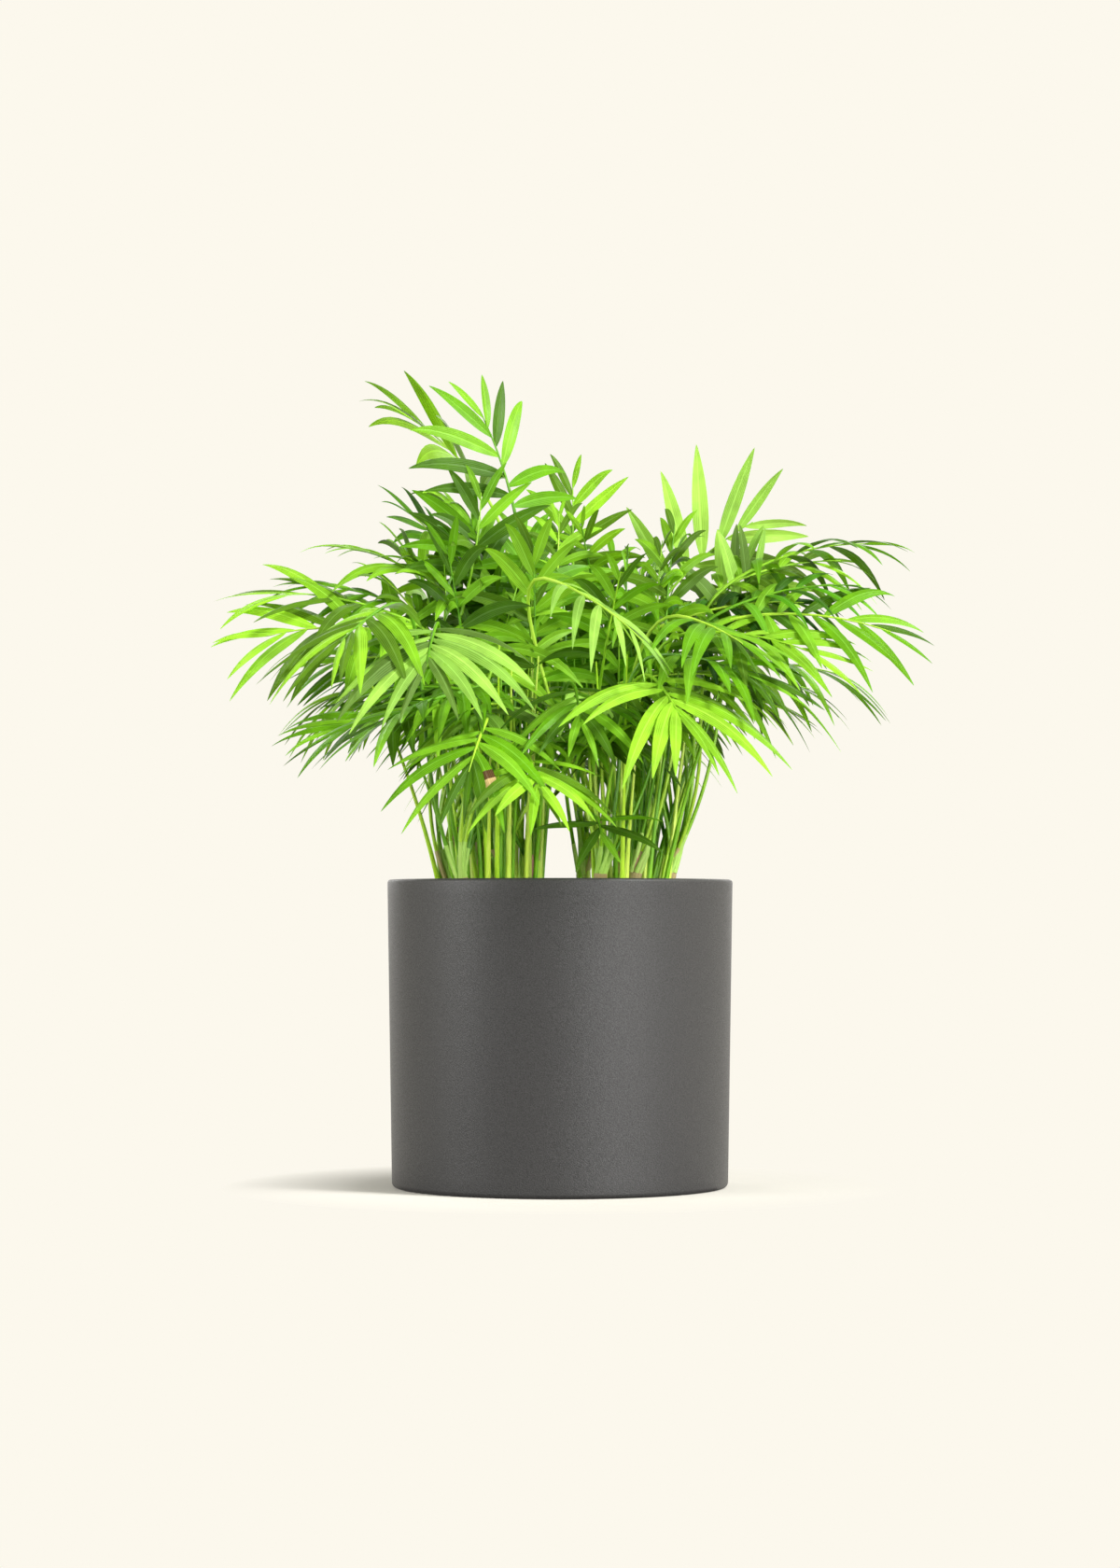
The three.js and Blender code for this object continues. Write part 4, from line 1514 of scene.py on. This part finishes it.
def segment_gaps(a: np.ndarray, u: np.ndarray, c: np.ndarray, v: np.ndarray) -> np.ndarray:
    """The shortest distances between two sets of straight pieces.

    Args:
        a: starts of the first set, one row each.
        u: the vectors along them.
        c: starts of the second set.
        v: the vectors along them.

    Returns:
        One row for each piece of the first set and one column for each of the second.
    """
    w = a[:, None] - c[None]
    uu = (u * u).sum(1)[:, None]
    vv = (v * v).sum(1)[None]
    uv = u @ v.T
    uw = (u[:, None] * w).sum(2)
    vw = (v[None] * w).sum(2)
    flat = uu * vv - uv * uv
    ready = flat > 1e-9
    s = np.where(ready, np.clip((uv * vw - vv * uw) / np.where(ready, flat, 1), 0, 1), 0)
    t = np.clip((uv * s + vw) / vv, 0, 1)
    s = np.clip((uv * t - uw) / uu, 0, 1)
    return np.linalg.norm(w + s[..., None] * u[:, None] - t[..., None] * v[None], axis=2)


@dataclass(frozen=True)
class Leaflet:
    """One leaflet's plan: where it grows, its own directions, and its shape."""

    at: np.ndarray
    along: np.ndarray
    out: np.ndarray
    side: int
    length: float
    width: float
    sag: float
    curl: float
    twist: float
    fold: float
    shade: int


@dataclass
class Foliage:
    """The leaflets of every frond, by the source's rule, with a true outline, fold, twist and curl."""

    plan: Seedlings
    # The leaflets' angle to the rachis from its foot to its tip, their lift and their width by length.
    first_angle: float = 78
    last_angle: float = 17
    lift: float = 13
    width: float = 0.155
    seed: int = 40
    finer_seed: int = 900
    young_index: int = 200
    rachis_share: float = 0.97
    # Where a leaflet is cut across, how wide it is there, and its points from one edge to the other.
    stations: tuple[float, ...] = (
        0, 0.03, 0.08, 0.15, 0.24, 0.34, 0.45, 0.56, 0.67, 0.77, 0.86, 0.93, 0.975, 1,
    )
    outline: tuple[float, ...] = (
        0.2, 0.34, 0.55, 0.76, 0.92, 1.0, 0.99, 0.92, 0.79, 0.62, 0.42, 0.25, 0.12, 0.015,
    )
    across: tuple[float, ...] = (-1, -0.66, -0.33, 0, 0.33, 0.66, 1)
    # The three tones of each tint, dealt out to the leaflets at random: the share of its colour, and how
    # much pale yellow is added. The darkest is painted shade, and the pale yellow on the brightest is a
    # painted sheen.
    shades: tuple[tuple[float, float], ...] = ((0.42, 0.0), (0.9, 0.0), (1.08, 0.05))
    paled: Rgb = (1.0, 1.0, 0.25)
    # The one leaflet with a dry spot: its rows of faces, with the columns and the look of each.
    spotted_leaf: tuple[str, int] = ("frond_front_23", 6)
    spot_faces: tuple[tuple[int, int, int, int], ...] = ((5, 0, 6, 0), (6, 0, 6, 1))
    spot_colours: dict[str, Rgb] = field(
        default_factory=lambda: {"scorched": linear(0x5A4026), "dried": linear(0xC9AE78)}
    )
    # The tints whose younger fronds are one tint lighter.
    fresh_tints: dict[Tint, Tint] = field(
        default_factory=lambda: {Tint.DEEP: Tint.MID, Tint.SHADE: Tint.DEEP}
    )
    # How far single leaflets stray from the rule: first the source's draws, then finer ones.
    angle_stray: tuple[float, float] = (-5, 5)
    lift_stray: tuple[float, float] = (-7, 7)
    sag_stray: tuple[float, float] = (0.75, 1.25)
    length_stray: tuple[float, float] = (0.92, 1.08)
    longest_at: float = 0.38
    swing: tuple[float, float] = (-8, 8)
    nod: tuple[float, float] = (-9, 9)
    widths: tuple[float, float] = (0.84, 1.06)
    curls: tuple[float, float] = (0.02, 0.14)
    twists: tuple[float, float] = (-16, 16)
    folds: tuple[float, float] = (10, 26)

    def stalk_shares(self, frond: Frond) -> list[float]:
        """The source's stations from the top of the first petiole step to the rachis's end.

        Args:
            frond: the frond.

        Returns:
            Shares: from 0 to 1 along the petiole, from 1 to 2 along the rachis.
        """
        steps = self.plan.petiole_steps
        shares = [(i + 1) / steps for i in range(steps)]
        return shares + [1 + self.rachis_share * i / frond.count for i in range(1, frond.count + 1)]

    def frame(self, frond: Frond, share: float) -> tuple[np.ndarray, np.ndarray, np.ndarray, np.ndarray]:
        """A stalk's place and directions at a share of its parts.

        Args:
            frond: the frond.
            share: from 0 to 1 along the petiole, from 1 to 2 along the rachis.

        Returns:
            The place, and the directions along the stalk, to its left and up.
        """
        part = frond.petiole if share < 1 else frond.rachis
        run = share if share < 1 else share - 1
        along = part.tangent(run)
        left = frond.left()
        left = unit(left - along * np.dot(left, along))
        up = np.cross(along, left)
        roll = math.radians(frond.roll) * min(share, 1)
        rolled = left * math.cos(roll) + up * math.sin(roll)
        return part.points([run])[0], along, rolled, np.cross(along, rolled)

    def leaflets(self, frond: Frond, index: int) -> list[Leaflet]:
        """The leaflets of one frond.

        Args:
            frond: the frond.
            index: its number among all fronds, which seeds its draws.

        Returns:
            A plan for each leaflet.
        """
        draw = SeededDraw(self.seed + index)
        finer = SeededDraw(self.finer_seed + index)
        shares = self.stalk_shares(frond)
        made = []
        for i in range(frond.count):
            share = i / (frond.count - 1)
            angle = math.radians(mix(self.first_angle, self.last_angle, share) + draw(*self.angle_stray))
            lift = math.radians(self.lift * (1 - 0.5 * share) + draw(*self.lift_stray))
            sag = frond.sag * (1.25 - 0.5 * share) * draw(*self.sag_stray)
            taper = 1 - 1.1 * (share - self.longest_at) ** 2
            length = frond.leaf * taper * draw(*self.length_stray)
            angle += math.radians(finer(*self.swing))
            lift += math.radians(finer(*self.nod))
            side = -1 if i % 2 else 1
            ring = self.plan.petiole_steps + i
            at, along, left, up = self.frame(frond, (shares[ring - 1] + shares[ring]) / 2)
            out = along * math.cos(angle) + left * (side * math.sin(angle) * math.cos(lift))
            out = out + up * (math.sin(angle) * math.sin(lift))
            made.append(
                Leaflet(
                    at, along, out, side, length,
                    width=self.width * length * finer(*self.widths),
                    sag=sag,
                    curl=finer(*self.curls),
                    twist=math.radians(finer(*self.twists)),
                    fold=math.radians(finer(*self.folds)),
                    # Each leaflet takes one of the three tones at random: the darkest is painted shade, the
                    # brightest a painted sheen.
                    shade=finer.pick(len(self.shades)),
                )
            )
        return made

    def blade(self, draft: MeshDraft, leaf: Leaflet) -> None:
        """Adds one leaflet: a folded blade that sags under its own weight and ends in a long point.

        Args:
            draft: the mesh that takes it.
            leaf: the leaflet's plan.
        """
        s = np.array(self.stations)
        drop = leaf.sag * s**2 + leaf.curl * s**4
        line = leaf.at + leaf.length * (leaf.out * s[:, None] - UP * drop[:, None])
        slope = 2 * leaf.sag * s + 4 * leaf.curl * s**3
        ways = units(leaf.out - UP * slope[:, None])
        level = unit(leaf.along - leaf.out * np.dot(leaf.along, leaf.out))
        spread = units(level - ways * (ways @ level)[:, None])
        over = np.cross(spread, ways) * leaf.side
        turn = leaf.twist * s**1.5
        turned = spread * np.cos(turn)[:, None] + over * np.sin(turn)[:, None]
        over = np.cross(turned, ways) * leaf.side
        half = 0.5 * leaf.width * np.array(self.outline)
        x = np.array(self.across)
        fold = math.tan(leaf.fold)
        aside = half[:, None] * x
        below = half[:, None] * (fold * np.abs(x) * (1.15 - 0.4 * np.abs(x)))
        places = line[:, None] + aside[..., None] * turned[:, None] - below[..., None] * over[:, None]
        uv = np.stack(np.meshgrid((x + 1) / 2, s), axis=2)
        draft.grid(places, uv, leaf.shade)

    def _spot(self, draft: MeshDraft) -> None:
        """Gives a few faces of the last leaflet drawn the two looks of a spot that has dried out.

        Args:
            draft: the mesh that the leaflet was added to last.
        """
        across = len(self.across) - 1
        first = len(draft.looks) - across * (len(self.stations) - 1)
        for row, left, right, look in self.spot_faces:
            for column in range(left, right):
                draft.looks[first + row * across + column] = len(self.shades) + look

    def _pale(self, base: Rgb, dim: float, pale: float) -> Rgb:
        """A leaf colour: a share of its tint's, with some pale yellow added. The darkest share is painted
        shade and the added yellow a painted sheen.
        """
        return tuple(c * dim + p * pale for c, p in zip(base, self.paled))

    def build(self, effects: Effects) -> list[bpy.types.Object]:
        """Makes one piece of leaflets for each tint, in the place of its frond nodes.

        Args:
            effects: the shared shader groups.

        Returns:
            The pieces.
        """
        drafts, nodes = self._drafts()
        made = []
        for tint, draft in drafts.items():
            piece = draft.build(f"leaflets_{tint.plain}", self._finishes(tint, draft, effects))
            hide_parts(*sorted(set(nodes[tint])))
            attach(piece, BODY)
            made.append(piece)
        return made

    def _drafts(self) -> tuple[dict[Tint, MeshDraft], dict[Tint, list[str]]]:
        """Draws every leaflet, and gathers by tint the meshes and the names of the frond nodes.

        Returns:
            The mesh of each tint, and the nodes whose place it takes.
        """
        drafts: dict[Tint, MeshDraft] = {}
        nodes: dict[Tint, list[str]] = {}
        groups = self.node_tints()
        for index, frond in enumerate(self.plan.fronds()):
            tint = groups[frond.name]
            draft = drafts.setdefault(tint, MeshDraft())
            nodes.setdefault(tint, []).append(frond.name)
            for i, leaf in enumerate(self.leaflets(frond, index)):
                self.blade(draft, leaf)
                if (frond.name, i) == self.spotted_leaf:
                    self._spot(draft)
            fresh = drafts.setdefault(self.fresh_tints.get(tint, tint), MeshDraft())
            for growing in self.plan.young(frond, index):
                for leaf in self.leaflets(growing, self.young_index + index):
                    self.blade(fresh, leaf)
        return drafts, nodes

    def _finishes(self, tint: Tint, draft: MeshDraft, effects: Effects) -> list[bpy.types.Material]:
        """The finishes of one tint: its three tones, the darkest painted shade and the brightest a painted
        sheen, and the spot's two looks where the draft has it.

        Args:
            tint: the tint.
            draft: its leaflets.
            effects: the shared shader groups.

        Returns:
            A material for each look that the draft's faces name.
        """
        base = linear(tint.value)
        finishes = [
            LeafFinish(f"leaf_{tint.plain}_{i + 1}", self._pale(base, dim, pale))
            for i, (dim, pale) in enumerate(self.shades)
        ]
        if max(draft.looks) >= len(self.shades):
            finishes += [LeafFinish(f"leaf_{look}", colour) for look, colour in self.spot_colours.items()]
        return [finish.material(effects) for finish in finishes]

    def node_tints(self) -> dict[str, Tint]:
        """The tint of each frond node: a pair of the back takes its first frond's.

        Returns:
            The tints, by the node's name.
        """
        tints = {frond.name: frond.tint for frond in self.plan.front}
        tints.update({pair[0].name: pair[0].tint for pair in self.plan.back})
        return tints


@dataclass
class Stalks:
    """The fronds' stalks: a sheath at the foot, a round petiole and the rachis that thins to its tip."""

    plan: Seedlings
    sides: int = 8
    petiole_rows: int = 22
    rachis_rows: int = 12
    sheath_rows: int = 7
    sheath_sides: int = 10
    sheath_radius: float = 1.75
    sheath_ease: float = 0.06
    sheath_shares: tuple[float, float] = (0.08, 0.2)
    green_share: float = 0.72
    straw_share: float = 0.9
    spear_rows: int = 14
    spear_radii: tuple[float, float] = (1.75, 0.45)
    seed: int = 300

    def radius(self, share: float) -> float:
        """The stalk's radius at a share of the petiole, from 0 to 1, or of the rachis, from 1 to 2.

        Args:
            share: the share.

        Returns:
            The radius in millimetres.
        """
        if share < 1:
            return mix(self.plan.stalk_radius, self.plan.stalk_mid_radius, share)
        return mix(self.plan.stalk_mid_radius, self.plan.stalk_tip_radius * 0.5, share - 1)

    def paper_look(self, share: float) -> int:
        """Most sheaths are green, some have dried to straw, and a few are rosy."""
        return 0 if share < self.green_share else 1 if share < self.straw_share else 2

    def build(self, effects: Effects) -> list[bpy.types.Object]:
        """Makes the green stalks and their papery sheaths, each kind joined.

        Args:
            effects: the shared shader groups.

        Returns:
            The two pieces.
        """
        # Each stalk and shoot takes one of three greens at random. Their spread from pale to dark is partly
        # the stalks' own and partly painted highlight and painted shade, and all are set bright as painted
        # light against the crown's shade over them.
        greens = [
            StalkFinish("stalk_light", linear(0xBCE24A), linear(0x9CCC2C)),
            StalkFinish("stalk_mid", linear(0x9CD02C), linear(0x7AB418)),
            StalkFinish("stalk_deep", linear(0x6EAA14), linear(0x4E8A0A)),
            StalkFinish("shoot_pale", linear(0xE2F676), linear(0xC2E63C)),
            StalkFinish("shoot_bright", linear(0xC6EC3E), linear(0xA6DA20)),
            StalkFinish("shoot_green", linear(0x8AC818), linear(0x5C9A0A)),
        ]
        papers = [
            StalkFinish("sheath_green", linear(0xC2E478), linear(0x9CCC50), rough=0.5, ribs=9.0),
            StalkFinish("sheath_straw", linear(0xD6C98F), linear(0xB3A36A), rough=0.6, ribs=9.0),
            StalkFinish("sheath_rose", linear(0xC9A183), linear(0x9A6F58), rough=0.6, ribs=9.0),
        ]
        stems, sheaths = MeshDraft(), MeshDraft()
        draw = SeededDraw(self.seed)
        grown = self.plan.fronds()
        young = [growing for index, frond in enumerate(grown) for growing in self.plan.young(frond, index)]
        for frond in [*grown, *young]:
            look = draw.pick(3)
            upper = frond.rachis.points(np.linspace(0, 1, self.rachis_rows + 1)[1:])
            lower = frond.petiole.points(np.linspace(0, 1, self.petiole_rows + 1))
            shares = [*np.linspace(0, 0.999, self.petiole_rows + 1)]
            shares += [*np.linspace(1, 2, self.rachis_rows + 1)[1:]]
            radii = [self.radius(share) for share in shares]
            tube(stems, np.concatenate([lower, upper]), radii, self.sides, look)
            line = frond.petiole.points(np.linspace(0, draw(*self.sheath_shares), self.sheath_rows))
            narrow = self.plan.stalk_radius + self.sheath_ease
            wide = np.linspace(self.sheath_radius, narrow, self.sheath_rows)
            tube(sheaths, line, wide, self.sheath_sides, self.paper_look(draw(0, 1)))
        for spear in self.plan.spears():
            line = spear.points(np.linspace(0, 1, self.spear_rows))
            radii = np.linspace(*self.spear_radii, self.spear_rows)
            tube(stems, line, radii, self.sides, 3 + draw.pick(3))
        names = sorted({frond.name for frond in grown})
        made = []
        for name, draft, finishes in (("stalks", stems, greens), ("sheaths", sheaths, papers)):
            piece = draft.build(name, [finish.material(effects) for finish in finishes])
            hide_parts(*names)
            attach(piece, BODY)
            made.append(piece)
        return made


@dataclass
class CaneStems:
    """The canes: short ringed stems that flare at the potting mix."""

    plan: Seedlings
    sides: int = 20
    rows: int = 26
    foot_radius: float = 5.2
    radius: float = 4.3
    top_radius: float = 4.0
    flare: float = 5
    ring_every: float = 4.5
    ring_relief: float = 0.22

    def build(self, effects: Effects) -> bpy.types.Object:
        """Makes the canes as one piece in the place of their nodes.

        Args:
            effects: the shared shader groups.

        Returns:
            The piece.
        """
        draft = MeshDraft()
        finishes = [
            StalkFinish("cane_green", linear(0xB4CC62), linear(0x8FAE44), rough=0.5, ribs=12.0),
            StalkFinish("cane_tan", linear(0xC2B27C), linear(0x9C8A58), rough=0.6, ribs=12.0),
        ]
        for i, cane in enumerate(self.plan.canes):
            tall = float(np.linalg.norm(cane.top - cane.foot))
            runs = np.linspace(0, tall, self.rows)
            radii = []
            for run in runs:
                if run < self.flare:
                    plain = mix(self.foot_radius, self.radius, run / self.flare)
                else:
                    plain = mix(self.radius, self.top_radius, (run - self.flare) / (tall - self.flare))
                ring = 0.5 + 0.5 * math.cos(2 * math.pi * (run + i) / self.ring_every)
                radii.append(plain - self.ring_relief * ring**4)
            centres = cane.foot + cane.axis * runs[:, None]
            tube(draft, centres, radii, self.sides, i % 2)
        piece = draft.build("cane_stems", [finish.material(effects) for finish in finishes])
        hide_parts(*[cane.name for cane in self.plan.canes])
        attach(piece, BODY)
        return piece


@dataclass(frozen=True)
class Lamp:
    """A soft rectangular lamp: where it stands and aims and its size, in metres, and its watts."""

    name: str
    place: Place
    aim: Place
    wide: float
    tall: float
    power: float
    gloss: bool = True

    def build(self) -> None:
        """Adds the lamp to the scene. Without gloss it doesn't show in smooth surfaces."""
        data = bpy.data.lights.new(self.name, "AREA")
        data.shape = "RECTANGLE"
        data.size = self.wide
        data.size_y = self.tall
        data.energy = self.power
        lamp = bpy.data.objects.new(self.name, data)
        lamp.visible_glossy = self.gloss
        lamp.location = self.place
        facing = Vector(self.aim) - Vector(self.place)
        lamp.rotation_euler = facing.to_track_quat("-Z", "Y").to_euler()
        bpy.context.scene.collection.objects.link(lamp)


LAMPS = (
    Lamp("fill", (-2.9, -1.2, 0.85), (0, 0, 0.25), wide=1.2, tall=1.4, power=66),
    Lamp("low_front", (1.7, -2.2, 0.36), (0, 0, 0.24), wide=2.4, tall=0.7, power=42),
    Lamp("low_soft", (1.2, -2.3, 0.3), (0.03, 0, 0.24), wide=1.6, tall=0.4, power=27, gloss=False),
    Lamp("high_soft", (-1.6, -1.7, 1.2), (-0.06, 0, 0.42), wide=1.2, tall=1.0, power=15, gloss=False),
    Lamp("back_top", (0.3, 1.6, 1.1), (0, 0, 0.2), wide=1.8, tall=0.6, power=5),
    Lamp("rim_right", (0.7, 2.0, 0.7), (0, 0, 0.2), wide=0.5, tall=1.2, power=3),
    Lamp("rim_left", (-1.0, 1.8, 0.9), (0, 0, 0.2), wide=0.5, tall=1.4, power=9),
)


@dataclass
class Studio:
    """A plain pale floor that curves up all round, soft light, and the camera in front of the plant."""

    distance: float = 2.121
    eye: float = 0.164
    pitch_up: float = 2.17
    lens: float = 79.9
    sensor: float = 36.0
    cream: Rgb = linear(0xFCF8ED)
    world_light: float = 0.22
    sun_place: Place = (2.0, -1.2, 2.2)
    sun_strength: float = 4.3
    sun_spread: float = 14
    paper_glow: float = 0.03
    paper_lit: float = 0.69
    shadow_patch: tuple[float, float] = (0.12, 0.205)
    floor_reach: float = 2600
    sweep: float = 800
    wall_top: float = 2500
    floor_rows: int = 24
    sweep_rows: int = 19
    floor_turns: int = 73

    def build(self) -> None:
        """Makes the floor, the lights, the world and the camera."""
        self._floor()
        self._lights()
        self._camera()

    def _floor(self) -> None:
        """A round floor that runs up into a wall all round: only its back part shows in reflections."""
        line = [(float(r), 0.0) for r in np.linspace(1, self.floor_reach, self.floor_rows)]
        for turn in np.radians(np.linspace(0, 90, self.sweep_rows)[1:]):
            out = self.floor_reach + self.sweep * math.sin(turn)
            line.append((out, self.sweep - self.sweep * math.cos(turn)))
        line.append((self.floor_reach + self.sweep, self.wall_top))
        finish = self._paper()
        for name, first, last in (("studio_back", -20, 200), ("studio_front", 200, 340)):
            turns = np.radians(np.linspace(first, last, self.floor_turns))
            rows = np.array([[(r * math.cos(t), r * math.sin(t), z) for t in turns] for r, z in line])
            uv = np.zeros((len(rows), len(turns), 2))
            draft = MeshDraft()
            draft.grid(rows, uv)
            floor = draft.build(name, [finish])
            floor.visible_diffuse = False
            floor.visible_glossy = name == "studio_back"

    def _paper(self) -> bpy.types.Material:
        """Paper that glows evenly, but for a round patch under the planter that takes its shadow.

        Returns:
            The material.
        """
        made, sheet, shader, _ = new_material("studio_paper")
        place = sheet.node("ShaderNodeNewGeometry")
        reach = sheet.node("ShaderNodeVectorMath", operation="LENGTH")
        sheet.join(place.outputs["Position"], reach.inputs[0])
        wall = sheet.span(reach.outputs["Value"], self.shadow_patch, (0.0, 1.0))
        shares = (("Base Color", self.paper_lit, 0.0), ("Emission Color", self.paper_glow, 1.0))
        for socket, low, high in shares:
            ramp = sheet.node("ShaderNodeMix", data_type="RGBA")
            sheet.join(wall, ramp.inputs["Factor"])
            ramp.inputs["A"].default_value = (*[low * c for c in self.cream], 1)
            ramp.inputs["B"].default_value = (*[high * c for c in self.cream], 1)
            sheet.join(ramp.outputs["Result"], shader.inputs[socket])
        shader.inputs["Emission Strength"].default_value = 1.0
        shader.inputs["Roughness"].default_value = 0.95
        shader.inputs["Specular IOR Level"].default_value = 0.0
        return made

    def _lights(self) -> None:
        """Soft daylight from the right, lamps from both sides and behind, and an even pale world."""
        world = bpy.data.worlds.new("studio_world")
        bpy.context.scene.world = world
        world.use_nodes = True
        shade = world.node_tree.nodes["Background"]
        shade.inputs["Color"].default_value = (*self.cream, 1)
        shade.inputs["Strength"].default_value = self.world_light
        data = bpy.data.lights.new("key", "SUN")
        data.energy = self.sun_strength
        data.angle = math.radians(self.sun_spread)
        sun = bpy.data.objects.new("key", data)
        sun.location = self.sun_place
        sun.rotation_euler = (-Vector(self.sun_place)).to_track_quat("-Z", "Y").to_euler()
        bpy.context.scene.collection.objects.link(sun)
        for lamp in LAMPS:
            lamp.build()

    def _camera(self) -> None:
        """The camera, in front of the plant and a little below its middle."""
        data = bpy.data.cameras.new("camera")
        data.lens = self.lens
        data.sensor_fit = "VERTICAL"
        data.sensor_height = self.sensor
        data.sensor_width = self.sensor
        camera = bpy.data.objects.new("camera", data)
        camera.location = (0.0, -self.distance, self.eye)
        camera.rotation_euler = (math.radians(90 + self.pitch_up), 0, 0)
        bpy.context.scene.collection.objects.link(camera)
        bpy.context.scene.camera = camera


def report(piece: bpy.types.Object) -> None:
    """Logs a piece's name and how many faces it has."""
    LOG.info("%s: %d faces", piece.name, len(piece.data.polygons))


def main() -> None:
    """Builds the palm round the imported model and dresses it."""
    logging.basicConfig(level=logging.INFO, format="%(name)s %(message)s")
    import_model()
    bpy.context.scene.view_settings.view_transform = "Standard"
    Studio().build()
    effects = Effects()
    planter = Planter()
    report(planter.build(PotFinish().material(effects)))
    soil = [
        SoilFinish("moist_mix", linear(0x3A2C22), linear(0x54402F)),
        SoilFinish("bark_bits", linear(0x5C432E), linear(0x3B2A1E)),
        SoilFinish("pale_grit", linear(0xB9B2A4), linear(0x8D867A), rough=0.8),
    ]
    for piece in PottingMix(planter).build([finish.material(effects) for finish in soil]):
        report(piece)
    plan = Seedlings()
    plan.settle()
    LOG.info("seedlings: %d canes, %d fronds", len(plan.canes), len(plan.fronds()))
    report(CaneStems(plan).build(effects))
    for piece in (*Stalks(plan).build(effects), *Foliage(plan).build(effects)):
        report(piece)


if __name__ == "__main__":
    main()
